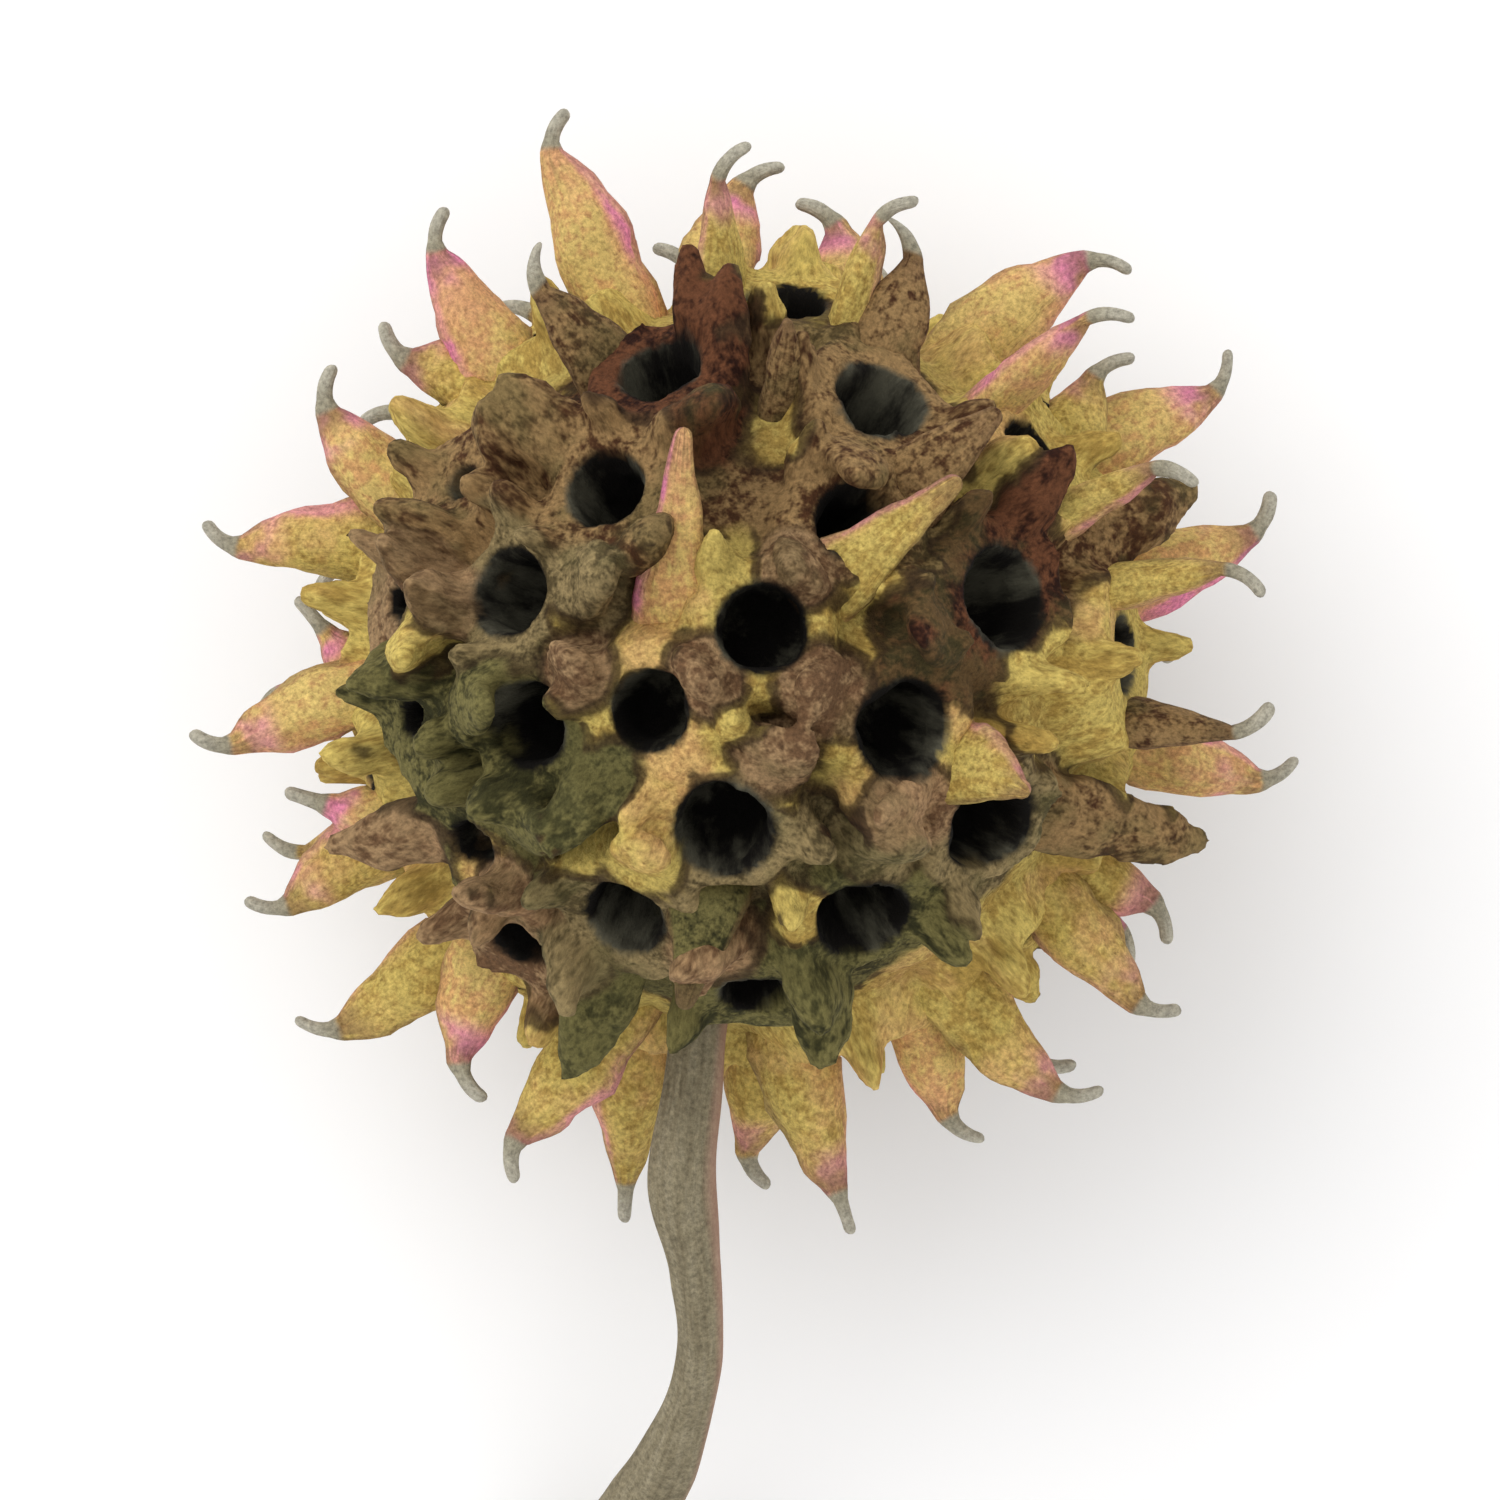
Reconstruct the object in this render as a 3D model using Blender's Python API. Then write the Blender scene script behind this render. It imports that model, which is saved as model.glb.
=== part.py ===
"""A sweetgum seed ball lying on a surface.

The woody head is one body: a round core set with capsules, each a cup round a dark mouth, with two
beaks and blunt woody fingers between them. The beaks round the side and underneath end in hooks,
and most of those on the upper face are worn blunt. The stalk that it hung by leaves it towards -Y
and curves down to the surface. Metres, +Z up, resting on z = 0.
"""

import math
import random
from collections import namedtuple

import bmesh
import bpy
from mathutils import Vector

MM = 0.001

# With the head's centre here, the box round head and stalk stands on the origin.
HEAD_CENTRE = Vector((0.0, 8.7, 16.9)) * MM

# Distances from the head's centre.
CORE_RADIUS = 12.3 * MM
CUP_ROOT = 10.6 * MM
RIM = 14.1 * MM
BEAK_ROOT = 11.4 * MM
BEAK_TIP = 17.9 * MM
FINGER_ROOT = 11.3 * MM
FINGER_TIP = 15.7 * MM

# A beak is given by the direction in degrees it leans in and how far its end is from the mouth's
# middle or from the head's centre, in mm. It has a hook that turns left, right or goes straight
# on, or it is a blunt lobe or a pointed flame.
Beak = namedtuple("Beak", "angle end form")
LEFT, STRAIGHT, RIGHT = 1, 0, -1
LOBE, FLAME = "lobe", "flame"

# Capsules on the upper face: the mouth's place seen from above, its radius, and the two beaks as
# they lean seen from above, all in mm from the head's centre.
UPPER_FACE = (
    (-3.0, 10.3, 1.35, Beak(147, 4.9, RIGHT), Beak(-33, 2.2, LOBE)),
    (-4.9, 6.1, 1.30, Beak(132, 5.0, LOBE), Beak(-48, 2.4, LOBE)),
    (4.8, 9.3, 1.50, Beak(77, 5.0, LEFT), Beak(-110, 2.8, LOBE)),
    (3.9, 4.9, 1.35, Beak(38, 6.0, FLAME), Beak(215, 2.6, LOBE)),
    (-8.3, 2.5, 1.45, Beak(12, 3.6, LOBE), Beak(180, 3.2, LOBE)),
    (0.6, 1.2, 1.45, Beak(37, 8.3, FLAME), Beak(217, 2.8, LOBE)),
    (-3.3, -1.7, 1.30, Beak(83, 9.6, FLAME), Beak(234, 5.6, LOBE)),
    (-7.6, -2.2, 1.40, Beak(60, 2.8, LOBE), Beak(240, 3.4, LOBE)),
    (9.1, 2.3, 1.70, Beak(30, 7.6, LOBE), Beak(205, 3.2, LOBE)),
    (5.5, -2.3, 1.60, Beak(155, 3.6, LOBE), Beak(-27, 4.6, FLAME)),
    (-9.6, -6.4, 0.90, Beak(180, 4.8, LOBE), Beak(15, 2.6, LOBE)),
    (-0.7, -5.8, 1.60, Beak(-103, 6.1, FLAME), Beak(48, 4.2, LOBE)),
    (-4.2, -9.0, 1.35, Beak(-110, 5.6, LOBE), Beak(80, 2.6, LOBE)),
    (-8.0, -9.9, 1.05, Beak(135, 2.6, LOBE), Beak(-50, 2.6, LOBE)),
    (0.3, -11.7, 1.10, Beak(160, 2.6, LOBE), Beak(-20, 2.4, LOBE)),
    (4.2, -9.0, 1.55, Beak(-108, 4.9, LOBE), Beak(60, 3.2, LOBE)),
    (8.7, -5.6, 1.65, Beak(-5, 7.4, LOBE), Beak(175, 3.8, LOBE)),
    (-10.0, 6.4, 0.65, Beak(200, 2.8, LOBE), Beak(70, 2.6, LOBE)),
    (-12.3, 2.2, 0.60, Beak(100, 2.0, LOBE), Beak(-80, 2.0, LOBE)),
    (-11.7, -1.9, 0.65, Beak(150, 2.2, LOBE), Beak(10, 2.6, LOBE)),
)

# Lone flames of wood on the upper face: the foot's place, half the width there, and how they lean.
LONE_FLAMES = (
    (-1.8, 9.7, 1.0, Beak(92, 4.7, LOBE)),
    (-0.8, 9.5, 0.9, Beak(87, 4.3, LOBE)),
    (1.5, 9.6, 0.7, Beak(90, 2.2, FLAME)),
    (9.6, 4.4, 1.1, Beak(60, 3.4, LOBE)),
)
LEANING_TIP = 16.6 * MM
LOWEST_LEANING_TIP = 2.0 * MM

# Capsules round the side: their height as an angle above the middle, and the angles of their two
# beaks from +X and how far the beaks end from the head's centre, both as seen from above. The
# lowest one is under the stalk.
SIDE = (
    (4, Beak(127, 18.1, RIGHT), Beak(111, 19.3, RIGHT)),
    (-4, Beak(90.5, 16.9, RIGHT), Beak(78, 15.8, LEFT)),
    (3, Beak(50, 18.6, RIGHT), Beak(39.5, 15.9, RIGHT)),
    (-5, Beak(30, 19.2, LEFT), Beak(14.5, 18.5, LEFT)),
    (-2, Beak(-13, 18.6, LEFT), Beak(-30, 16.6, RIGHT)),
    (4, Beak(-41, 18.2, LEFT), Beak(-54, 18.6, LEFT)),
    (-3, Beak(-66, 17.4, LEFT), Beak(-80, 18.8, STRAIGHT)),
    (-20, Beak(-90, 17.3, LEFT), Beak(-103, 18.8, STRAIGHT)),
    (3, Beak(-116, 18.5, LEFT), Beak(-126, 17.2, LEFT)),
    (-4, Beak(-138, 19.2, RIGHT), Beak(-152, 18.2, RIGHT)),
    (4, Beak(-161, 15.4, STRAIGHT), Beak(-171, 18.2, RIGHT)),
    (-5, Beak(176, 14.8, STRAIGHT), Beak(167, 18.3, RIGHT)),
    (2, Beak(149, 17.2, RIGHT), Beak(138, 16.0, RIGHT)),
)
SIDE_MOUTH = 1.2 * MM
SIDE_HALF_THICKNESS = 1.8 * MM

# The three capsules under the head that it rests on.
FOOT_AZIMUTHS = (30, 150, 270)
FOOT_ELEVATION = -71

# All other capsules fill the gaps: a gap this wide, in degrees, takes one more.
WIDEST_GAP = 24.0
GAP_CANDIDATES = 1500
HIDDEN_MOUTH = 1.3 * MM
HIDDEN_SPREAD = 2.9 * MM
TWIST = 18
LENGTH_JITTER = 0.6 * MM
SEED = 7

# Widths, as shares of half the distance to the nearest neighbour, which limits a capsule's size.
CUP_ROOT_SHARE = 1.12
RIM_SHARE = 0.86
BEAK_WIDTH_SHARE = 0.54
SMALLEST_REACH = 2.5 * MM
LARGEST_REACH = 3.4 * MM

# A beak along its length: share of the way, share of its width and of its thickness.
HOOKED_PROFILE = ((0.0, 1.0, 1.0), (0.45, 0.97, 0.93), (0.78, 0.66, 0.66), (1.0, 0.26, 0.32))
LOBE_PROFILE = ((0.0, 1.0, 1.0), (0.5, 1.0, 0.95), (0.85, 0.78, 0.75), (1.0, 0.4, 0.45))
FLAME_PROFILE = ((0.0, 1.35, 1.0), (0.45, 1.05, 0.93), (0.8, 0.6, 0.66), (1.0, 0.26, 0.32))
BEAK_HALF_THICKNESS = 0.95 * MM
BEAK_SET_OUT = 0.75 * MM
BEND_SET_OUT = 1.15 * MM
BEND_SHARE = 0.58

# The dried style that ends each beak in a hook.
HOOK_RADIUS = 0.3 * MM
HOOK_END_RADIUS = 0.22 * MM
HOOK_STEP = 0.8 * MM
HOOK_TURNS = (20, 60)

FINGER_PROFILE = ((0.0, 1.0), (0.6, 0.9), (1.0, 0.5))
FINGER_HALF_WIDTH = 0.8 * MM
FINGER_SET_OUT = 0.5 * MM
FINGER_LEAN = 1.6 * MM

# The mouth's pit: distance from the head's centre, and share of the mouth's radius.
PIT_PROFILE = ((10.9 * MM, 0.55), (13.0 * MM, 0.95), (14.6 * MM, 1.08))

# The stalk's centre line from the head's centre, and its radius there, in mm.
STALK_DIRECTION = (-97, 5)
STALK_ROOT = 10.4 * MM
STALK_NECK = 14.6 * MM
STALK_NECK_RADIUS = 1.0 * MM
STALK_ROUTE = (
    (-2.2, -18.3, 0.6, 1.18),
    (-1.7, -21.8, -1.2, 0.92),
    (-1.6, -24.6, -3.4, 0.82),
    (-2.3, -27.4, -6.3, 1.00),
    (-3.6, -30.2, -9.6, 1.36),
    (-5.6, -33.2, -13.1, 1.55),
    (-7.6, -35.6, -15.8, 1.75),
)
STALK_STEPS = 3
FIT_GAP = 0.3 * MM

SURFACE_BLOCK = 200 * MM

CUP_SIDES = 8
BEAK_SIDES = 5
FINGER_SIDES = 3
PIT_SIDES = 8
STALK_SIDES = 12
CORE_SUBDIVISIONS = 3

# The share of its triangles that the head keeps, without the slivers where pieces cross.
KEPT_TRIANGLES = 0.7

HEAD_COLOUR = (0.30, 0.21, 0.08)
STALK_COLOUR = (0.24, 0.21, 0.13)
DRY_ROUGHNESS = 0.75
SHARPEST_SMOOTH_ANGLE = 40

Capsule = namedtuple("Capsule", "axis mouth reach beaks")
Path = namedtuple("Path", "wide root bend tip form half_width half_thickness")


def clear_scene():
    for obj in list(bpy.data.objects):
        bpy.data.objects.remove(obj)


def direction(azimuth, elevation):
    """The direction at this azimuth from +X and this elevation, both in degrees."""
    turn, rise = math.radians(azimuth), math.radians(elevation)
    return Vector((math.cos(rise) * math.cos(turn), math.cos(rise) * math.sin(turn), math.sin(rise)))


def even_directions(count):
    """Directions spread evenly over a ball, along a golden-angle spiral."""
    golden = math.pi * (3 - math.sqrt(5))
    for i in range(count):
        z = 1 - (2 * i + 1) / count
        level = math.sqrt(1 - z * z)
        yield Vector((level * math.cos(golden * i), level * math.sin(golden * i), z))


def fill_gaps(taken, widest):
    """New directions, each in the widest gap then left, until no gap is as wide as this angle."""
    candidates = list(even_directions(GAP_CANDIDATES))
    nearest = [max(candidate.dot(other) for other in taken) for candidate in candidates]
    added = []
    while min(nearest) < math.cos(widest):
        chosen = candidates[nearest.index(min(nearest))]
        added.append(chosen)
        nearest = [max(value, candidate.dot(chosen)) for value, candidate in zip(nearest, candidates)]
    return added


def square_to(vector, axis):
    """The unit vector nearest this one that is square to the axis."""
    return (vector - axis * vector.dot(axis)).normalized()


def beak_path(axis, mouth, tip, form, half_width, half_thickness):
    """A beak's curve from beside the mouth, bending over to its tip."""
    out = square_to(tip, axis)
    root = axis * BEAK_ROOT + out * (mouth + BEAK_SET_OUT)
    rise = BEAK_ROOT + BEND_SHARE * (tip.dot(axis) - BEAK_ROOT)
    bend = axis * rise + out * (mouth + BEND_SET_OUT)
    return Path(axis.cross(out), root, bend, tip, form, half_width, half_thickness)


def on_rim(x, y):
    """The place on the upper face, at the rims' height, that is seen here from above."""
    return Vector((x, y, math.sqrt((RIM / MM) ** 2 - x * x - y * y))) * MM


def upper_face_beak(place, beak):
    """Where the end of a beak is that leans this far over the upper face."""
    flat = place + direction(beak.angle, 0) * beak.end * MM
    flat.z = 0
    height = math.sqrt(max(LEANING_TIP**2 - flat.length_squared, LOWEST_LEANING_TIP**2))
    return flat + Vector((0, 0, height))


def capsule_rows():
    """Every capsule's axis, mouth radius, beak thickness and beaks, as pairs of tip and form."""
    draw = random.Random(SEED)
    rows = []
    for x, y, mouth, *beaks in UPPER_FACE:
        place = on_rim(x, y)
        tips = [(upper_face_beak(place, beak), beak.form) for beak in beaks]
        rows.append((place.normalized(), mouth * MM, BEAK_HALF_THICKNESS, tips))
    for elevation, *beaks in SIDE:
        axis = direction(sum(beak.angle for beak in beaks) / 2, elevation)
        out = MM / math.cos(math.radians(elevation))
        tips = [(direction(beak.angle, elevation) * beak.end * out, beak.form) for beak in beaks]
        rows.append((axis, SIDE_MOUTH, SIDE_HALF_THICKNESS, tips))
    feet = [direction(azimuth, FOOT_ELEVATION) for azimuth in FOOT_AZIMUTHS]
    taken = [row[0] for row in rows] + feet + [direction(*STALK_DIRECTION)]
    for axis in feet + fill_gaps(taken, math.radians(WIDEST_GAP)):
        level = square_to(Vector((0, 0, 1)).cross(axis), axis)
        twist = math.radians(draw.uniform(-TWIST, TWIST))
        across = level * math.cos(twist) + axis.cross(level) * math.sin(twist)
        tips = []
        for side in (1, -1):
            length = BEAK_TIP + draw.uniform(-LENGTH_JITTER, LENGTH_JITTER)
            hook = STRAIGHT if axis in feet else draw.choice((LEFT, RIGHT))
            tips.append((axis * length + across * side * HIDDEN_SPREAD, hook))
        rows.append((axis, HIDDEN_MOUTH, BEAK_HALF_THICKNESS, tips))
    return rows


def place_capsules():
    rows = capsule_rows()
    capsules = []
    for axis, mouth, thickness, tips in rows:
        gap = min((other[0] - axis).length for other in rows if other[0] is not axis) * RIM
        reach = min(max(gap / 2, SMALLEST_REACH), LARGEST_REACH)
        width = reach * BEAK_WIDTH_SHARE
        beaks = [beak_path(axis, mouth, tip, form, width, thickness) for tip, form in tips]
        capsules.append(Capsule(axis, mouth, reach, beaks))
    return capsules


def place_lone_flames():
    paths = []
    for x, y, width, flame in LONE_FLAMES:
        place = on_rim(x, y)
        tip = upper_face_beak(place, flame)
        axis = place.normalized()
        paths.append(beak_path(axis, -BEAK_SET_OUT, tip, flame.form, width * MM, BEAK_HALF_THICKNESS))
    return paths


def loft(name, sections, sides):
    """A closed body through rings of points: each section is a centre and two half-width vectors."""
    bm = bmesh.new()
    ring = bmesh.ops.create_circle(bm, cap_ends=True, segments=sides, radius=1)["verts"]
    end = ring[0].link_faces[0]
    for number, (centre, wide, thick) in enumerate(sections):
        if number:
            grown = bmesh.ops.extrude_face_region(bm, geom=[end])["geom"]
            if number > 1:
                bmesh.ops.delete(bm, geom=[end], context="FACES_ONLY")
            end = next(item for item in grown if isinstance(item, bmesh.types.BMFace))
            ring = [
                next(edge.other_vert(vert) for edge in vert.link_edges if edge.other_vert(vert) in grown)
                for vert in ring
            ]
        for i, vert in enumerate(ring):
            angle = math.tau * i / sides
            vert.co = centre + wide * math.sin(angle) + thick * math.cos(angle)
    bmesh.ops.recalc_face_normals(bm, faces=bm.faces)
    mesh = bpy.data.meshes.new(name)
    bm.to_mesh(mesh)
    bm.free()
    return bpy.data.objects.new(name, mesh)


def round_loft(name, axis, profile, sides):
    """A closed body round an axis through the head's centre: pairs of distance and radius."""
    wide = axis.orthogonal().normalized()
    thick = axis.cross(wide)
    sections = [(axis * distance, wide * radius, thick * radius) for distance, radius in profile]
    return loft(name, sections, sides)


def cup(capsule):
    profile = ((CUP_ROOT, capsule.reach * CUP_ROOT_SHARE), (RIM, capsule.reach * RIM_SHARE))
    return round_loft("cup", capsule.axis, profile, CUP_SIDES)


def pit(capsule):
    profile = [(distance, capsule.mouth * share) for distance, share in PIT_PROFILE]
    return round_loft("pit", capsule.axis, profile, PIT_SIDES)


def beak(path):
    """A beak that tapers along its curve, and ends in a hook unless it is a lobe or a flame."""
    profile = {LOBE: LOBE_PROFILE, FLAME: FLAME_PROFILE}.get(path.form, HOOKED_PROFILE)
    sections = []
    for share, width_share, thickness_share in profile:
        point = path.root * (1 - share) ** 2 + path.bend * 2 * share * (1 - share) + path.tip * share**2
        along = ((path.bend - path.root) * (1 - share) + (path.tip - path.bend) * share).normalized()
        width = path.wide * path.half_width * width_share
        sections.append((point, width, path.wide.cross(along) * path.half_thickness * thickness_share))
    if profile is HOOKED_PROFILE:
        sections += hook_sections(path, along)
    return loft("beak", sections, BEAK_SIDES)


def hook_sections(path, heading):
    point = path.tip
    sections = []
    for turn, radius in zip(HOOK_TURNS, (HOOK_RADIUS, HOOK_END_RADIUS)):
        angle = math.radians(turn) * path.form
        turned = heading * math.cos(angle) + hook_side(heading) * math.sin(angle)
        point = point + turned * HOOK_STEP
        sections.append((point, path.wide * radius, path.wide.cross(turned) * radius))
    return sections


def hook_side(heading):
    """What is left of this heading as seen from above."""
    return square_to(Vector((0, 0, 1)).cross(heading), heading)


def fingers(capsule):
    """The blunt tips that the wall between the beaks rises to, one on each side."""
    across = square_to(capsule.beaks[0].tip, capsule.axis)
    found = []
    for side in (capsule.axis.cross(across), across.cross(capsule.axis)):
        root = capsule.axis * FINGER_ROOT + side * (capsule.mouth + FINGER_SET_OUT)
        tip = capsule.axis * FINGER_TIP + side * (capsule.mouth + FINGER_SET_OUT + FINGER_LEAN)
        along = (tip - root).normalized()
        wide = along.cross(side).normalized() * FINGER_HALF_WIDTH
        thick = wide.cross(along)
        sections = [(root.lerp(tip, share), wide * width, thick * width) for share, width in FINGER_PROFILE]
        found.append(loft("finger", sections, FINGER_SIDES))
    return found


def curve_point(points, place):
    """The point at this place on the smooth curve through all the points."""
    i = min(int(place), len(points) - 2)
    t = place - i
    before, here, after = points[max(i - 1, 0)], points[i], points[i + 1]
    beyond = points[min(i + 2, len(points) - 1)]
    start, end = (after - before) / 2, (beyond - here) / 2
    return (
        here * (2 * t**3 - 3 * t**2 + 1)
        + start * (t**3 - 2 * t**2 + t)
        + after * (3 * t**2 - 2 * t**3)
        + end * (t**3 - t**2)
    )


def stalk_loft(name, root_distance, grown):
    """The stalk, or with more radius the room for it in the head."""
    outward = direction(*STALK_DIRECTION)
    ends = [outward * distance for distance in (root_distance, STALK_NECK)]
    rows = [Vector((*end, STALK_NECK_RADIUS)) for end in ends]
    rows += [Vector(row) * MM for row in STALK_ROUTE]
    steps = [i / STALK_STEPS for i in range((len(rows) - 1) * STALK_STEPS + 1)]
    stations = [curve_point(rows, step) for step in steps]
    sections = []
    for i, station in enumerate(stations):
        before, after = stations[max(i - 1, 0)].xyz, stations[min(i + 1, len(stations) - 1)].xyz
        along = (after - before).normalized()
        wide = along.cross(Vector((1, 0, 0))).normalized()
        radius = station.w + grown
        sections.append((station.xyz, wide * radius, wide.cross(along) * radius))
    return loft(name, sections, STALK_SIDES)


def core():
    bm = bmesh.new()
    bmesh.ops.create_icosphere(bm, subdivisions=CORE_SUBDIVISIONS, radius=CORE_RADIUS)
    mesh = bpy.data.meshes.new("seed_head")
    bm.to_mesh(mesh)
    bm.free()
    return bpy.data.objects.new("seed_head", mesh)


def surface_below():
    """A block below the surface that the ball lies on."""
    bm = bmesh.new()
    bmesh.ops.create_cube(bm, size=SURFACE_BLOCK)
    bmesh.ops.translate(bm, verts=bm.verts, vec=(0, 0, -SURFACE_BLOCK / 2 - HEAD_CENTRE.z))
    mesh = bpy.data.meshes.new("surface_below")
    bm.to_mesh(mesh)
    bm.free()
    return bpy.data.objects.new("surface_below", mesh)


def join(obj, operation, others):
    """Adds all the others to an object, or cuts them from it, and removes them."""
    collection = bpy.data.collections.new("others")
    bpy.context.scene.collection.children.link(collection)
    for other in others:
        collection.objects.link(other)
        other.hide_render = True
        other.display_type = "WIRE"
    boolean = obj.modifiers.new("join", "BOOLEAN")
    boolean.operation = operation
    boolean.operand_type = "COLLECTION"
    boolean.collection = collection
    boolean.solver = "MANIFOLD"
    bpy.context.view_layer.objects.active = obj
    bpy.ops.object.modifier_apply(modifier=boolean.name)
    for other in others:
        bpy.data.objects.remove(other)
    bpy.data.collections.remove(collection)


def drop_slivers(obj):
    """Merges the many tiny faces along the lines where the joined pieces cross."""
    decimate = obj.modifiers.new("slivers", "DECIMATE")
    decimate.ratio = KEPT_TRIANGLES
    decimate.use_collapse_triangulate = True
    bpy.context.view_layer.objects.active = obj
    bpy.ops.object.modifier_apply(modifier=decimate.name)


def keep_largest_piece(obj):
    """Drops loose scraps and fills sealed hollows, which are separate pieces of the mesh."""
    bm = bmesh.new()
    bm.from_mesh(obj.data)
    pieces, unseen = [], set(bm.verts)
    while unseen:
        piece, edge_of_piece = set(), [unseen.pop()]
        while edge_of_piece:
            vert = edge_of_piece.pop()
            piece.add(vert)
            found = [edge.other_vert(vert) for edge in vert.link_edges if edge.other_vert(vert) in unseen]
            unseen.difference_update(found)
            edge_of_piece += found
        pieces.append(piece)
    pieces.sort(key=len)
    loose = [vert for piece in pieces[:-1] for vert in piece]
    bmesh.ops.delete(bm, geom=loose, context="VERTS")
    bm.to_mesh(obj.data)
    bm.free()


def material(name, colour):
    made = bpy.data.materials.new(name)
    made.use_nodes = True
    shader = made.node_tree.nodes["Principled BSDF"]
    shader.inputs["Base Color"].default_value = (*colour, 1)
    shader.inputs["Roughness"].default_value = DRY_ROUGHNESS
    shader.inputs["Metallic"].default_value = 0
    return made


def finish(obj, colour):
    """Gives a finished piece its material and smooth shading, and puts it in its place."""
    obj.data.materials.clear()
    obj.data.materials.append(material(obj.name, colour))
    obj.data.shade_smooth()
    obj.data.set_sharp_from_angle(angle=math.radians(SHARPEST_SMOOTH_ANGLE))
    obj.location = HEAD_CENTRE


def seed_head():
    head = core()
    bpy.context.scene.collection.objects.link(head)
    capsules = place_capsules()
    join(head, "UNION", [cup(capsule) for capsule in capsules])
    join(head, "DIFFERENCE", [pit(capsule) for capsule in capsules])
    beaks = [beak(path) for capsule in capsules for path in capsule.beaks]
    flames = [beak(path) for path in place_lone_flames()]
    join(head, "UNION", beaks + flames + [finger for capsule in capsules for finger in fingers(capsule)])
    drop_slivers(head)
    room = stalk_loft("room", STALK_ROOT - FIT_GAP, FIT_GAP)
    join(head, "DIFFERENCE", [room, surface_below()])
    keep_largest_piece(head)
    finish(head, HEAD_COLOUR)


def stalk():
    stem = stalk_loft("stalk", STALK_ROOT, 0)
    bpy.context.scene.collection.objects.link(stem)
    join(stem, "DIFFERENCE", [surface_below()])
    finish(stem, STALK_COLOUR)


clear_scene()
seed_head()
stalk()
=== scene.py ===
"""The looks of a sweetgum seed ball that lies on a pale surface, seen from straight above.

The woody head is dressed as two pieces: the walls, which are the core with its capsules' cups,
mouths, blunt fingers and blunt beaks, and the beaks that end in a hook or a point. The stalk is
a third piece.
"""

import math
import random
from collections import namedtuple

import bmesh
import bpy
import numpy as np
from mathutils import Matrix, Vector, noise


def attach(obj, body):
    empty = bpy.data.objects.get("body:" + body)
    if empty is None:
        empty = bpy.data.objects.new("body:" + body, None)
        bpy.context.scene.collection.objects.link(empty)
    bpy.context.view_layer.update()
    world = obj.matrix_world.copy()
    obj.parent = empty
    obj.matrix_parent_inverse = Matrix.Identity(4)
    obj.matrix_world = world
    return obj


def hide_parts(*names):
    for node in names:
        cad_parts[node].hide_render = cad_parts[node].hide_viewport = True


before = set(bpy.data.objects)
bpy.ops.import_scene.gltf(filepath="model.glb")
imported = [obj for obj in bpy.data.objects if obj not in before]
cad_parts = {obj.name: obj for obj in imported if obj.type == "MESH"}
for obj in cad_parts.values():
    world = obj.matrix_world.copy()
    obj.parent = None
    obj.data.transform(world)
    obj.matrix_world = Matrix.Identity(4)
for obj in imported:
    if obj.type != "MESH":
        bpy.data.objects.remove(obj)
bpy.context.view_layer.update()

MM = 0.001
HEAD_CENTRE = Vector((0.0, 8.7, 16.9)) * MM

# Distances from the head's centre.
CUP_ROOT = 10.6 * MM
RIM = 14.1 * MM
BEAK_ROOT = 11.4 * MM
BEAK_TIP = 17.9 * MM
FINGER_ROOT = 11.3 * MM
FINGER_TIP = 15.7 * MM

# A tone is the wood's light and dark colour where they mottle, and how rosy its edges are.
Tone = namedtuple("Tone", "light dark rosy")
YELLOW = Tone((0.50, 0.380, 0.105), (0.385, 0.257, 0.064), 0.55)
ROSY = Tone((0.57, 0.415, 0.140), (0.56, 0.31, 0.125), 1.0)
TAN = Tone((0.27, 0.172, 0.086), (0.13, 0.070, 0.034), 0.15)
BROWN = Tone((0.245, 0.152, 0.064), (0.062, 0.026, 0.011), 0.0)
DARK = Tone((0.105, 0.040, 0.018), (0.022, 0.007, 0.004), 0.0)
# Olive is partly the wood's greenish colour and partly painted shade, on lobes and walls that lie in shade.
OLIVE = Tone((0.135, 0.117, 0.041), (0.036, 0.034, 0.012), 0.0)
DULL = Tone((0.23, 0.17, 0.078), (0.085, 0.062, 0.027), 0.0)

# A beak is the direction it leans in, in degrees, how far its end is from the mouth's middle or
# from the head's centre, in mm, its form and its tone. It has a hook that turns left, right or goes
# straight on, or it is a blunt lobe or a pointed flame.
Beak = namedtuple("Beak", "angle end form tone")
LEFT, STRAIGHT, RIGHT = 1, 0, -1
LOBE, FLAME = "lobe", "flame"

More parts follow.
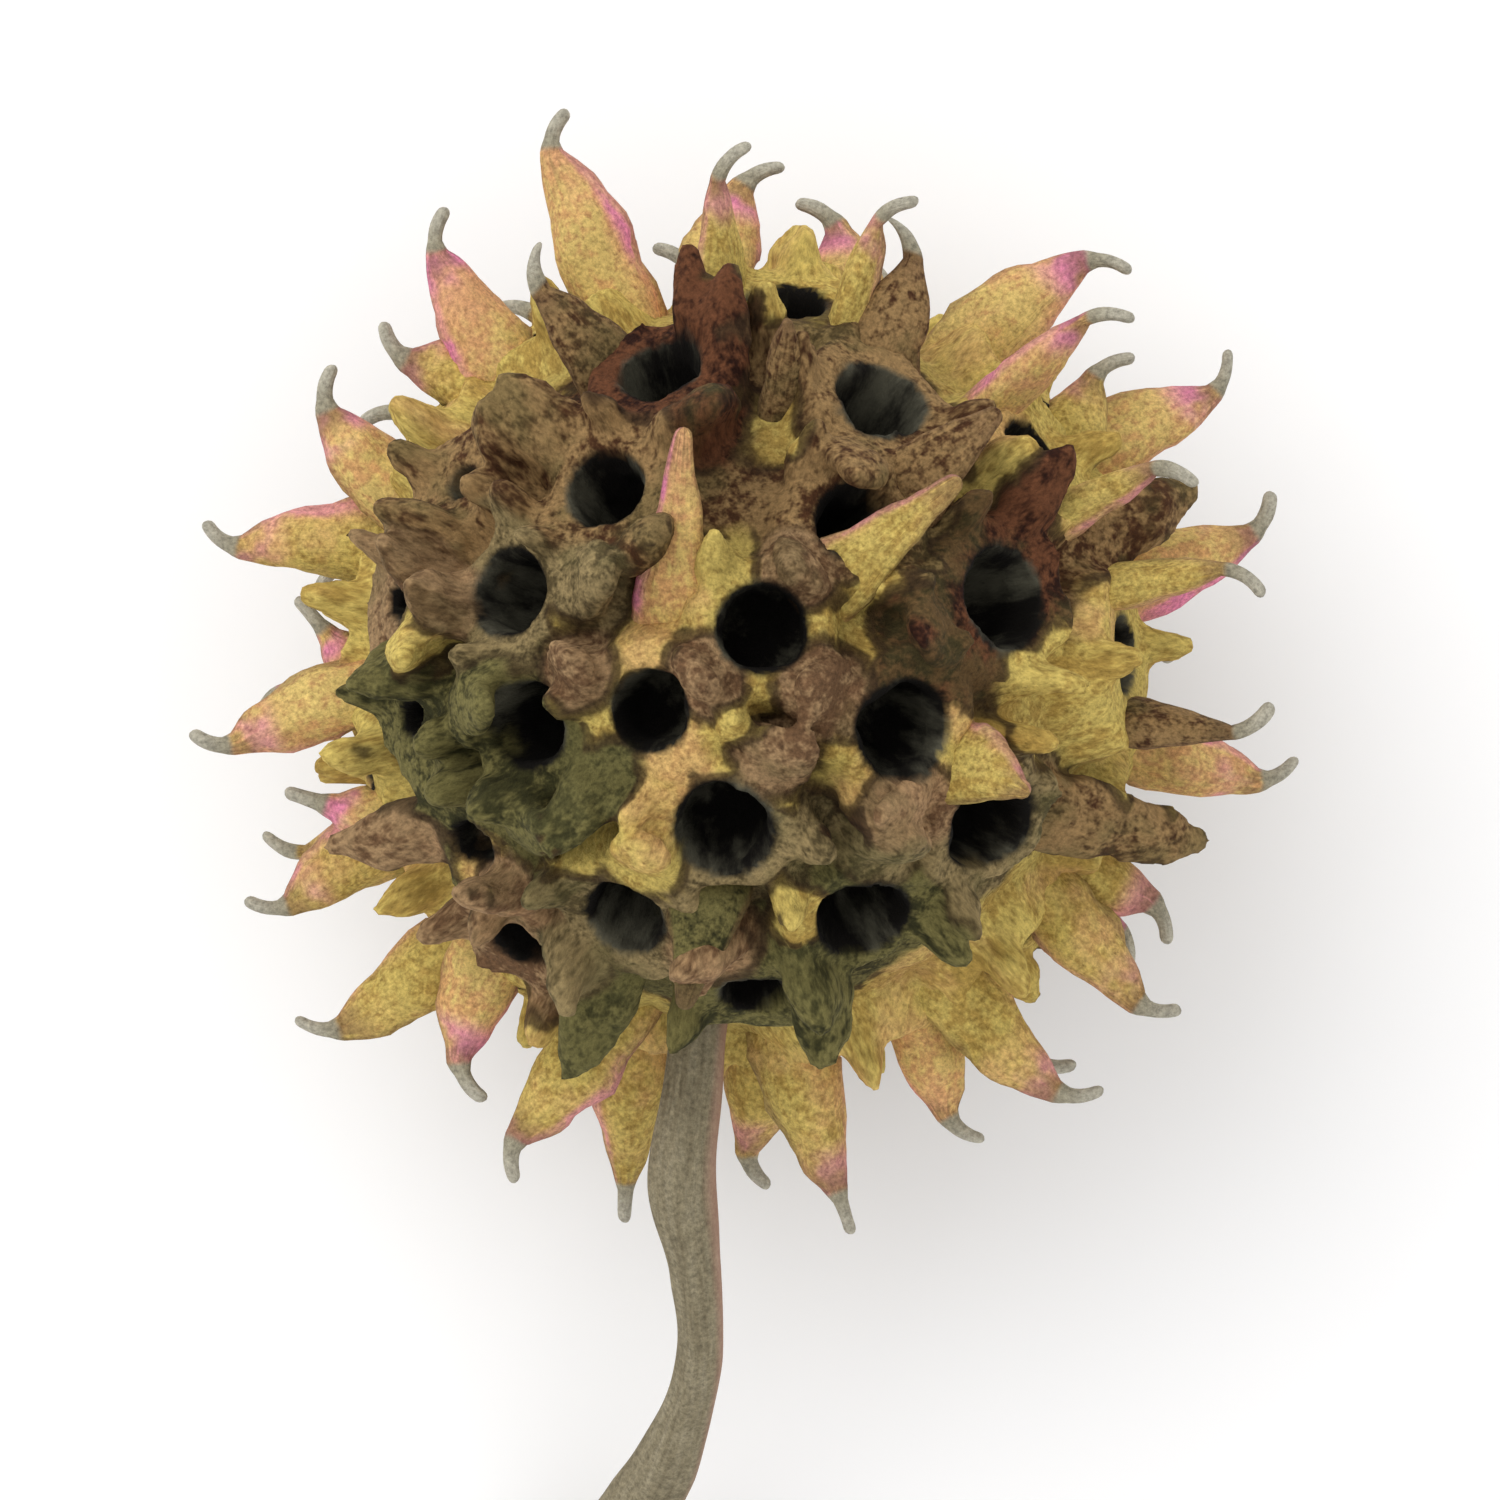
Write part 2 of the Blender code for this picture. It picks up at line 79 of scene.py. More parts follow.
# Capsules on the upper face: the mouth's place seen from above and its radius, in mm, the two
# beaks as they lean seen from above, and the tone of the wall round the mouth.
UPPER_FACE = (
    (-3.0, 10.3, 1.35, Beak(147, 4.9, RIGHT, BROWN), Beak(-33, 2.2, LOBE, DARK), DARK),
    (-4.9, 6.1, 1.30, Beak(132, 5.0, LOBE, BROWN), Beak(-48, 2.4, LOBE, BROWN), BROWN),
    (4.8, 9.3, 1.50, Beak(77, 5.0, LEFT, BROWN), Beak(-110, 2.8, LOBE, BROWN), BROWN),
    (3.9, 4.9, 1.35, Beak(38, 6.0, FLAME, BROWN), Beak(215, 2.6, LOBE, TAN), BROWN),
    (-8.3, 2.5, 1.45, Beak(12, 3.6, LOBE, DULL), Beak(180, 3.2, LOBE, TAN), DULL),
    (0.6, 1.2, 1.45, Beak(37, 8.3, FLAME, YELLOW), Beak(217, 2.8, LOBE, TAN), YELLOW),
    (-3.3, -1.7, 1.30, Beak(83, 9.6, FLAME, ROSY), Beak(234, 5.6, LOBE, OLIVE), YELLOW),
    (-7.6, -2.2, 1.40, Beak(60, 2.8, LOBE, TAN), Beak(240, 3.4, LOBE, OLIVE), OLIVE),
    (9.1, 2.3, 1.70, Beak(30, 7.6, LOBE, BROWN), Beak(205, 3.2, LOBE, DARK), DARK),
    (5.5, -2.3, 1.60, Beak(155, 3.6, LOBE, TAN), Beak(-27, 4.6, FLAME, YELLOW), DARK),
    (-9.6, -6.4, 0.90, Beak(180, 4.8, LOBE, TAN), Beak(15, 2.6, LOBE, OLIVE), OLIVE),
    (-0.7, -5.8, 1.60, Beak(-103, 6.1, FLAME, OLIVE), Beak(48, 4.2, LOBE, TAN), DULL),
    (-4.2, -9.0, 1.35, Beak(-110, 5.6, LOBE, OLIVE), Beak(80, 2.6, LOBE, YELLOW), DULL),
    (-8.0, -9.9, 1.05, Beak(135, 2.6, LOBE, TAN), Beak(-50, 2.6, LOBE, DULL), TAN),
    (0.3, -11.7, 1.10, Beak(160, 2.6, LOBE, TAN), Beak(-20, 2.4, LOBE, OLIVE), OLIVE),
    (4.2, -9.0, 1.55, Beak(-108, 4.9, LOBE, OLIVE), Beak(60, 3.2, LOBE, DULL), OLIVE),
    (8.7, -5.6, 1.65, Beak(-5, 7.4, LOBE, BROWN), Beak(175, 3.8, LOBE, TAN), DULL),
    (-10.0, 6.4, 0.65, Beak(200, 2.8, LOBE, BROWN), Beak(70, 2.6, LOBE, BROWN), BROWN),
    (-12.3, 2.2, 0.60, Beak(100, 2.0, LOBE, TAN), Beak(-80, 2.0, LOBE, YELLOW), TAN),
    (-11.7, -1.9, 0.65, Beak(150, 2.2, LOBE, OLIVE), Beak(10, 2.6, LOBE, OLIVE), OLIVE),
)

# Lone flames of wood on the upper face: the foot's place, half the width there, and how they lean.
LONE_FLAMES = (
    (-1.8, 9.7, 1.0, Beak(92, 4.7, LOBE, DARK)),
    (-0.8, 9.5, 0.9, Beak(87, 4.3, LOBE, DARK)),
    (1.5, 9.6, 0.7, Beak(90, 2.2, FLAME, BROWN)),
    (9.6, 4.4, 1.1, Beak(60, 3.4, LOBE, DARK)),
)

# Patches of one tone in the wall between capsules of the upper face: place and radius, in mm.
BROWN_PATCHES = ((1.8, 10.6, 1.5), (3.4, 11.3, 1.3), (0.2, 11.0, 1.2))
YELLOW_PATCHES = (
    (0.7, 8.2, 1.3),
    (-5.0, 1.6, 1.6),
    (-5.2, -0.6, 1.5),
    (-1.2, 0.7, 1.1),
    (-1.2, -2.9, 1.1),
    (0.5, -1.3, 1.5),
    (2.8, 1.4, 1.9),
    (4.4, 2.2, 1.2),
    (3.9, -3.6, 1.4),
    (1.7, -3.6, 1.2),
    (7.6, -3.2, 1.6),
    (11.0, -1.2, 2.2),
    (-5.9, -6.2, 1.4),
    (-3.6, -5.0, 2.0),
    (-8.9, -6.9, 1.1),
    (1.9, -8.6, 1.1),
)

# Where leaning beaks end: how far from the head's centre, and how far above it at least.
LEANING_TIP = 16.6 * MM
LOWEST_LEANING_TIP = 2.0 * MM

# Capsules round the side: their height as an angle above the middle, and the angles of their two
# beaks from +X and how far the beaks end from the head's centre, both as seen from above. The
# lowest one is under the stalk.
SIDE = (
    (4, Beak(127, 18.1, RIGHT, ROSY), Beak(111, 19.3, RIGHT, ROSY)),
    (-4, Beak(90.5, 16.9, RIGHT, ROSY), Beak(78, 15.8, LEFT, ROSY)),
    (3, Beak(50, 18.6, RIGHT, ROSY), Beak(39.5, 15.9, RIGHT, YELLOW)),
    (-5, Beak(30, 19.2, LEFT, ROSY), Beak(14.5, 18.5, LEFT, ROSY)),
    (-2, Beak(-13, 18.6, LEFT, ROSY), Beak(-30, 16.6, RIGHT, YELLOW)),
    (4, Beak(-41, 18.2, LEFT, YELLOW), Beak(-54, 18.6, LEFT, YELLOW)),
    (-3, Beak(-66, 17.4, LEFT, ROSY), Beak(-80, 18.8, STRAIGHT, YELLOW)),
    (-20, Beak(-90, 17.3, LEFT, YELLOW), Beak(-103, 18.8, STRAIGHT, YELLOW)),
    (3, Beak(-116, 18.5, LEFT, YELLOW), Beak(-126, 17.2, LEFT, ROSY)),
    (-4, Beak(-138, 19.2, RIGHT, YELLOW), Beak(-152, 18.2, RIGHT, YELLOW)),
    (4, Beak(-161, 15.4, STRAIGHT, ROSY), Beak(-171, 18.2, RIGHT, ROSY)),
    (-5, Beak(176, 14.8, STRAIGHT, ROSY), Beak(167, 18.3, RIGHT, YELLOW)),
    (2, Beak(149, 17.2, RIGHT, ROSY), Beak(138, 16.0, RIGHT, YELLOW)),
)
SIDE_MOUTH = 1.2 * MM
SIDE_HALF_THICKNESS = 1.8 * MM

# The three capsules under the head that it rests on.
FOOT_AZIMUTHS = (30, 150, 270)
FOOT_ELEVATION = -71

# All other capsules fill the gaps: a gap this wide, in degrees, takes one more.
WIDEST_GAP = 24.0
GAP_CANDIDATES = 1500
HIDDEN_MOUTH = 1.3 * MM
HIDDEN_SPREAD = 2.9 * MM
TWIST = 18
LENGTH_JITTER = 0.6 * MM
SEED = 7
TONE_SEED = 21
HIDDEN_WALLS = (YELLOW, YELLOW, TAN, BROWN)
HIDDEN_FROM_ABOVE = -0.2
HIDDEN_BEAKS = (YELLOW, ROSY, YELLOW, TAN, BROWN)

# Widths, as shares of half the distance to the nearest neighbour, which limits a capsule's size.
CUP_ROOT_SHARE = 1.12
RIM_SHARE = 0.86
BEAK_WIDTH_SHARE = 0.54
SMALLEST_REACH = 2.5 * MM
LARGEST_REACH = 3.4 * MM

# A beak along its length: share of the way, share of its width and of its thickness.
HOOKED_PROFILE = ((0.0, 1.0, 1.0), (0.45, 0.97, 0.93), (0.78, 0.66, 0.66), (1.0, 0.26, 0.32))
LOBE_PROFILE = ((0.0, 1.0, 1.0), (0.5, 1.0, 0.95), (0.85, 0.78, 0.75), (1.0, 0.4, 0.45))
FLAME_PROFILE = ((0.0, 1.35, 1.0), (0.45, 1.05, 0.93), (0.8, 0.6, 0.66), (1.0, 0.26, 0.32))
BEAK_HALF_THICKNESS = 0.95 * MM
BEAK_SET_OUT = 0.75 * MM
BEND_SET_OUT = 1.15 * MM
BEND_SHARE = 0.58
FINGER_HALF_WIDTH = 0.8 * MM
FINGER_SET_OUT = 0.5 * MM
FINGER_LEAN = 1.6 * MM

# The stalk leaves the head at this azimuth and elevation, in degrees, straight from root to neck.
STALK_DIRECTION = (-97, 5)
STALK_ROOT = 10.4 * MM
STALK_NECK = 14.6 * MM
STALK_NECK_RADIUS = 1.0 * MM
# Its further centre line from the head's centre, and its radius there, in mm.
STALK_ROUTE = (
    (-2.2, -18.3, 0.6, 1.18),
    (-1.7, -21.8, -1.2, 0.92),
    (-1.6, -24.6, -3.4, 0.82),
    (-2.3, -27.4, -6.3, 1.00),
    (-3.6, -30.2, -9.6, 1.36),
    (-5.6, -33.2, -13.1, 1.55),
    (-7.6, -35.6, -15.8, 1.75),
)

Capsule = namedtuple("Capsule", "axis mouth reach beaks tone")
Path = namedtuple("Path", "axis wide root bend tip form half_width half_thickness tone")


# Where the capsules are, by the rule that the solids follow.
def direction(azimuth, elevation):
    """The direction at this azimuth from +X and this elevation, both in degrees."""
    turn, rise = math.radians(azimuth), math.radians(elevation)
    return Vector((math.cos(rise) * math.cos(turn), math.cos(rise) * math.sin(turn), math.sin(rise)))


def even_directions(count):
    """Directions spread evenly over a ball, along a golden-angle spiral."""
    golden = math.pi * (3 - math.sqrt(5))
    for i in range(count):
        z = 1 - (2 * i + 1) / count
        level = math.sqrt(1 - z * z)
        yield Vector((level * math.cos(golden * i), level * math.sin(golden * i), z))


def fill_gaps(taken, widest):
    """New directions, each in the widest gap then left, until no gap is as wide as this angle."""
    candidates = list(even_directions(GAP_CANDIDATES))
    nearest = [max(candidate.dot(other) for other in taken) for candidate in candidates]
    added = []
    while min(nearest) < math.cos(widest):
        chosen = candidates[nearest.index(min(nearest))]
        added.append(chosen)
        nearest = [max(value, candidate.dot(chosen)) for value, candidate in zip(nearest, candidates)]
    return added


def square_to(vector, axis):
    """The unit vector nearest this one that is square to the axis."""
    return (vector - axis * vector.dot(axis)).normalized()


def beak_path(axis, mouth, tip, form, tone, half_width, half_thickness):
    """A beak's curve from beside the mouth, bending over to its tip."""
    out = square_to(tip, axis)
    root = axis * BEAK_ROOT + out * (mouth + BEAK_SET_OUT)
    rise = BEAK_ROOT + BEND_SHARE * (tip.dot(axis) - BEAK_ROOT)
    bend = axis * rise + out * (mouth + BEND_SET_OUT)
    return Path(axis, axis.cross(out), root, bend, tip, form, half_width, half_thickness, tone)


def on_rim(x, y):
    """The place on the upper face, at the rims' height, that is seen here from above."""
    return Vector((x, y, math.sqrt((RIM / MM) ** 2 - x * x - y * y))) * MM


def upper_face_beak(place, beak):
    """Where the end of a beak is that leans this far over the upper face."""
    flat = place + direction(beak.angle, 0) * beak.end * MM
    flat.z = 0
    height = math.sqrt(max(LEANING_TIP**2 - flat.length_squared, LOWEST_LEANING_TIP**2))
    return flat + Vector((0, 0, height))


def capsule_rows():
    """Every capsule's axis, mouth radius, beak thickness, beaks as (tip, form, tone), and tone."""
    draw = random.Random(SEED)
    tones = random.Random(TONE_SEED)
    rows = []
    for x, y, mouth, first, second, tone in UPPER_FACE:
        place = on_rim(x, y)
        tips = [(upper_face_beak(place, beak), beak.form, beak.tone) for beak in (first, second)]
        rows.append((place.normalized(), mouth * MM, BEAK_HALF_THICKNESS, tips, tone))
    for elevation, *beaks in SIDE:
        axis = direction(sum(beak.angle for beak in beaks) / 2, elevation)
        out = MM / math.cos(math.radians(elevation))
        tips = [(direction(beak.angle, elevation) * beak.end * out, beak.form, beak.tone) for beak in beaks]
        rows.append((axis, SIDE_MOUTH, SIDE_HALF_THICKNESS, tips, YELLOW))
    feet = [direction(azimuth, FOOT_ELEVATION) for azimuth in FOOT_AZIMUTHS]
    taken = [row[0] for row in rows] + feet + [direction(*STALK_DIRECTION)]
    for axis in feet + fill_gaps(taken, math.radians(WIDEST_GAP)):
        level = square_to(Vector((0, 0, 1)).cross(axis), axis)
        twist = math.radians(draw.uniform(-TWIST, TWIST))
        across = level * math.cos(twist) + axis.cross(level) * math.sin(twist)
        tips = []
        for side in (1, -1):
            length = BEAK_TIP + draw.uniform(-LENGTH_JITTER, LENGTH_JITTER)
            form = STRAIGHT if axis in feet else draw.choice((LEFT, RIGHT))
            tips.append((axis * length + across * side * HIDDEN_SPREAD, form, tones.choice(HIDDEN_BEAKS)))
        tone = tones.choice(HIDDEN_WALLS) if axis.z < HIDDEN_FROM_ABOVE else YELLOW
        rows.append((axis, HIDDEN_MOUTH, BEAK_HALF_THICKNESS, tips, tone))
    return rows


def place_capsules():
    rows = capsule_rows()
    capsules = []
    for axis, mouth, thickness, tips, tone in rows:
        gap = min((other[0] - axis).length for other in rows if other[0] is not axis) * RIM
        reach = min(max(gap / 2, SMALLEST_REACH), LARGEST_REACH)
        width = reach * BEAK_WIDTH_SHARE
        beaks = [beak_path(axis, mouth, *tip, width, thickness) for tip in tips]
        capsules.append(Capsule(axis, mouth, reach, beaks, tone))
    return capsules


def place_lone_flames():
    paths = []
    for x, y, width, flame in LONE_FLAMES:
        place = on_rim(x, y)
        tip = upper_face_beak(place, flame)
        shape = (tip, flame.form, flame.tone, width * MM, BEAK_HALF_THICKNESS)
        paths.append(beak_path(place.normalized(), -BEAK_SET_OUT, *shape))
    return paths


# Making meshes.
def grow_rings(bm, count, sides):
    """Grows a closed tube by extruding its end, and yields each new ring to be put in place."""
    ring = bmesh.ops.create_circle(bm, cap_ends=True, segments=sides, radius=1)["verts"]
    end = ring[0].link_faces[0]
    yield ring
    for number in range(1, count):
        grown = set(bmesh.ops.extrude_face_region(bm, geom=[end])["geom"])
        if number > 1:
            bmesh.ops.delete(bm, geom=[end], context="FACES_ONLY")
        end = next(item for item in grown if isinstance(item, bmesh.types.BMFace))
        ring = [
            next(edge.other_vert(vert) for edge in vert.link_edges if edge.other_vert(vert) in grown)
            for vert in ring
        ]
        yield ring


def loft(bm, sections, sides):
    """A closed body through rings of points: each section is a centre and two half-width vectors."""
    for (centre, wide, thick), ring in zip(sections, grow_rings(bm, len(sections), sides)):
        for i, vert in enumerate(ring):
            angle = math.tau * i / sides
            vert.co = centre + wide * math.sin(angle) + thick * math.cos(angle)


def mesh_object(name, bm):
    bmesh.ops.recalc_face_normals(bm, faces=bm.faces)
    mesh = bpy.data.meshes.new(name)
    bm.to_mesh(mesh)
    bm.free()
    obj = bpy.data.objects.new(name, mesh)
    bpy.context.scene.collection.objects.link(obj)
    return obj


def apply_modifiers(obj):
    bpy.context.view_layer.objects.active = obj
    for modifier in list(obj.modifiers):
        bpy.ops.object.modifier_apply(modifier=modifier.name)


def combine(obj, operation, others):
    """Adds the bodies of all the others to an object, or cuts them from it."""
    collection = bpy.data.collections.new("others")
    bpy.context.scene.collection.children.link(collection)
    for other in others:
        bpy.context.scene.collection.objects.unlink(other)
        collection.objects.link(other)
    boolean = obj.modifiers.new("combine", "BOOLEAN")
    boolean.operation = operation
    boolean.operand_type = "COLLECTION"
    boolean.collection = collection
    boolean.solver = "MANIFOLD"
    apply_modifiers(obj)
    for other in others:
        bpy.data.objects.remove(other)
    bpy.data.collections.remove(collection)


def roughen(point, size, seed=0.0):
    """Smooth noise from -1 to 1 that changes over this size, at a point."""
    return noise.noise(point / size + Vector((seed, seed, seed)))


# The walls: core, cups, fingers and mouths.
CUP_SIDES = 28
CUP_STEPS = 7
PIT_SIDES = 20
CORE_SUBDIVISIONS = 5
WALL_CORE = 12.8 * MM
WALL_VOXEL = 0.24 * MM
WALL_SOFTENING = 0.5
SOFTENING_ROUNDS = 3
WALL_KEPT = 0.7
WALL_CUP_SHARE = 1.12
CUP_BULGE = 0.05
RIM_WAVE = 0.55 * MM
RIM_WAVE_SIZE = 1.5 * MM

FINGER_SIDES = 10
FINGER_STEPS = 8
# A finger's half-width as shares: at its foot, what it loses evenly and what it loses at its end.
FINGER_FOOT = 1.3
FINGER_TAPER = 0.35
FINGER_ROUNDING = 0.65
FINGER_FLATNESS = 0.85
# How far a finger bends aside at most, in mm.
FINGER_BEND = 0.6

MOUTH_UNEVEN = 0.22
MOUTH_UNEVEN_SIZE = 0.9 * MM
MOUTH_SEED = 5
# The hollow behind a mouth: distances from the head's centre, and shares of the mouth's radius.
PIT_PROFILE = (
    (10.2 * MM, 0.6),
    (11.2 * MM, 0.95),
    (13.2 * MM, 1.0),
    (14.1 * MM, 1.05),
    (15.2 * MM, 1.35),
)
# Bumps on the walls: their size and height.
WALL_WAVES = ((2.4 * MM, 0.18 * MM), (0.95 * MM, 0.14 * MM), (0.5 * MM, 0.06 * MM))

# How far the borders between tones wander, over which size, and how much of it those of lobes do.
BORDER_WANDER = 0.9 * MM
BORDER_WANDER_SIZE = 1.4 * MM
WANDER_SEEDS = (0, 10, 20)
LOBE_WANDER = 0.3
BORDER_SHARPNESS = 420
# How fast the cosines to two neighbouring capsules part across their border, for each radian.
BORDER_SLOPE = 0.35
# Half the width of the dark line along a tone's edge.
LINE_HALF_WIDTH = 0.30 * MM
# Two tones that differ this much have a full line between them.
TONE_CONTRAST = 0.25
# A tone fades over this much at its edge, as a share of its patch's radius or lobe's half-width.
TONE_FADE = 0.2
PATCH_EDGE = 1.05
OFF_PATCH = 9.0
LOBE_EDGE = 1.2
# Every third section of a lobe is enough for its distances.
LOBE_SAMPLING = 3
THINNEST_LOBE = 0.3 * MM
# A mouth's hollow gets painted shade, dark up to this share of its radius and up to this height, each with
# a fade inward.
MOUTH_SHADE_SHARE = 1.2
MOUTH_SHADE_FADE = 0.15 * MM
HIGHEST_MOUTH_SHADE = 15.2 * MM
MOUTH_SHADE_DEPTH_FADE = 0.4 * MM
# How much of the distance from the head's centre counts in the walls' pattern.
ALONG_FIBRES = 0.3


def cup(capsule):
    """The cup round a mouth, with a bulging wall and a wavy rim."""
    bm = bmesh.new()
    wide = capsule.axis.orthogonal().normalized()
    thick = capsule.axis.cross(wide)
    for step, ring in enumerate(grow_rings(bm, CUP_STEPS + 1, CUP_SIDES)):
        share = step / CUP_STEPS
        distance = CUP_ROOT + (RIM - CUP_ROOT) * share
        width = CUP_ROOT_SHARE + (RIM_SHARE - CUP_ROOT_SHARE) * share
        width += CUP_BULGE * math.sin(math.pi * share)
        width *= WALL_CUP_SHARE
        for i, vert in enumerate(ring):
            angle = math.tau * i / CUP_SIDES
            out = wide * math.cos(angle) + thick * math.sin(angle)
            rim = capsule.axis * RIM + out * capsule.reach
            wave = roughen(rim, RIM_WAVE_SIZE) * RIM_WAVE * share
            vert.co = capsule.axis * (distance + wave) + out * (capsule.reach * width + wave)
    return mesh_object("cup", bm)


def finger(capsule, side, bend):
    """One of the blunt tips that the wall between the beaks rises to."""
    root = capsule.axis * FINGER_ROOT + side * (capsule.mouth + FINGER_SET_OUT)
    tip = capsule.axis * FINGER_TIP + side * (capsule.mouth + FINGER_SET_OUT + FINGER_LEAN)
    along = (tip - root).normalized()
    wide = along.cross(side).normalized()
    sections = []
    for i in range(FINGER_STEPS + 1):
        share = i / FINGER_STEPS
        width = FINGER_HALF_WIDTH * (FINGER_FOOT - FINGER_TAPER * share - FINGER_ROUNDING * share**5)
        centre = root.lerp(tip, share) + wide * bend * share**2
        sections.append((centre, wide * width, wide.cross(along) * width * FINGER_FLATNESS))
    bm = bmesh.new()
    loft(bm, sections, FINGER_SIDES)
    return mesh_object("finger", bm)


def pit(capsule):
    """The hollow behind a mouth, which has an uneven outline."""
    wide = capsule.axis.orthogonal().normalized()
    thick = capsule.axis.cross(wide)
    bm = bmesh.new()
    for (distance, share), ring in zip(PIT_PROFILE, grow_rings(bm, len(PIT_PROFILE), PIT_SIDES)):
        for i, vert in enumerate(ring):
            angle = math.tau * i / PIT_SIDES
            out = wide * math.cos(angle) + thick * math.sin(angle)
            rim = capsule.axis * RIM + out * capsule.mouth
            uneven = 1 + MOUTH_UNEVEN * roughen(rim, MOUTH_UNEVEN_SIZE, MOUTH_SEED)
            vert.co = capsule.axis * distance + out * capsule.mouth * share * uneven
    return mesh_object("pit", bm)


def from_lobe(points, path):
    """How far each point is from a lobe's middle line, as a share of the lobe's size there."""
    sections = beak_sections(path)[::LOBE_SAMPLING]
    centres = np.array([centre[:] for along, centre, wide, thick in sections])
    radii = np.array([max(wide.length, thick.length) for along, centre, wide, thick in sections])
    away = np.linalg.norm(points[:, None, :] - centres[None, :, :], axis=2)
    return (away / np.maximum(radii, THINNEST_LOBE)).min(axis=1)


def edge_line(distance):
    """The dark line along an edge: 1 on the edge, 0 away from it."""
    return np.clip(1 - np.abs(distance) / LINE_HALF_WIDTH, 0, 1)


def contrast(first, second):
    """How strong the line between two tones is, from 0 where they are the same."""
    return np.clip(np.linalg.norm((first - second)[:, :6], axis=1) / TONE_CONTRAST, 0, 1)


def lay_tone(blended, line, tone, away, edge, size):
    """Blends in a tone where away, in units of size, is below edge. Returns the line with its edge."""
    share = np.clip((edge - away) / TONE_FADE + 0.5, 0, 1)
    around = edge_line((away - edge) * size) * contrast(flat_tone(tone), blended)
    blended += (flat_tone(tone) - blended) * share[:, None]
    return np.maximum(line * (1 - share), around)


def flat_tone(tone):
    """A tone's light colour, dark colour and rosiness as one row of seven numbers."""
    return np.array((*tone.light, *tone.dark, tone.rosy))


def wall_values(points, capsules, lobes):
    """For each point of the walls: its tone, border line, how much painted shade of a mouth's hollow it
    gets, and height.
    """
    wander = [
        [roughen(Vector(point), BORDER_WANDER_SIZE, seed) for seed in WANDER_SEEDS] for point in points
    ]
    moved = points + np.array(wander) * BORDER_WANDER
    axes = np.array([capsule.axis[:] for capsule in capsules])
    mouths = np.array([capsule.mouth for capsule in capsules])
    facing = moved @ axes.T / np.linalg.norm(moved, axis=1)[:, None]
    weights = np.exp((facing - facing.max(axis=1, keepdims=True)) * BORDER_SHARPNESS)
    weights /= weights.sum(axis=1, keepdims=True)
    tones = np.array([flat_tone(capsule.tone) for capsule in capsules])
    blended = weights @ tones
    order = np.argsort(facing, axis=1)
    ordered = np.take_along_axis(facing, order, axis=1)
    line = edge_line((ordered[:, -1] - ordered[:, -2]) * RIM / BORDER_SLOPE)
    line *= contrast(tones[order[:, -1]], tones[order[:, -2]])
    patches = [(*row, BROWN) for row in BROWN_PATCHES] + [(*row, YELLOW) for row in YELLOW_PATCHES]
    for x, y, radius, tone in patches:
        away = np.hypot(moved[:, 0] - x * MM, moved[:, 1] - y * MM) / (radius * MM)
        away[moved[:, 2] < 0] = OFF_PATCH
        line = lay_tone(blended, line, tone, away, PATCH_EDGE, radius * MM)
    for path in lobes:
        away = from_lobe(points + (moved - points) * LOBE_WANDER, path)
        line = lay_tone(blended, line, path.tone, away, LOBE_EDGE, path.half_width)
    distance = np.linalg.norm(points, axis=1)
    facing = points @ axes.T / distance[:, None]
    nearest = facing.argmax(axis=1)
    height = (points * axes[nearest]).sum(axis=1)
    across = np.sqrt(np.maximum(distance**2 - height**2, 0))
    # Painted shade fills each mouth's hollow, near its axis and up to the highest mouth shade.
    inside = np.clip((mouths[nearest] * MOUTH_SHADE_SHARE - across) / MOUTH_SHADE_FADE, 0, 1)
    depth = np.clip((HIGHEST_MOUTH_SHADE - height) / MOUTH_SHADE_DEPTH_FADE, 0, 1)
    return blended, line, inside * depth, distance / MM


def along_radius(points):
    """Places for the walls' pattern, which runs outward as the wood's fibres do."""
    distance = np.linalg.norm(points, axis=1)[:, None]
    return points * (ALONG_FIBRES + (1 - ALONG_FIBRES) * RIM / distance)


def add_values(mesh, name, values):
    attribute = mesh.attributes.new(name, "FLOAT", "POINT")
    attribute.data.foreach_set("value", np.asarray(values, dtype=np.float32))


def add_vectors(mesh, name, vectors):
    attribute = mesh.attributes.new(name, "FLOAT_VECTOR", "POINT")
    attribute.data.foreach_set("vector", np.asarray(vectors, dtype=np.float32).ravel())


def mesh_points(mesh):
    flat = np.empty(len(mesh.vertices) * 3, dtype=np.float32)
    mesh.vertices.foreach_get("co", flat)
    return flat.reshape(-1, 3).astype(float)


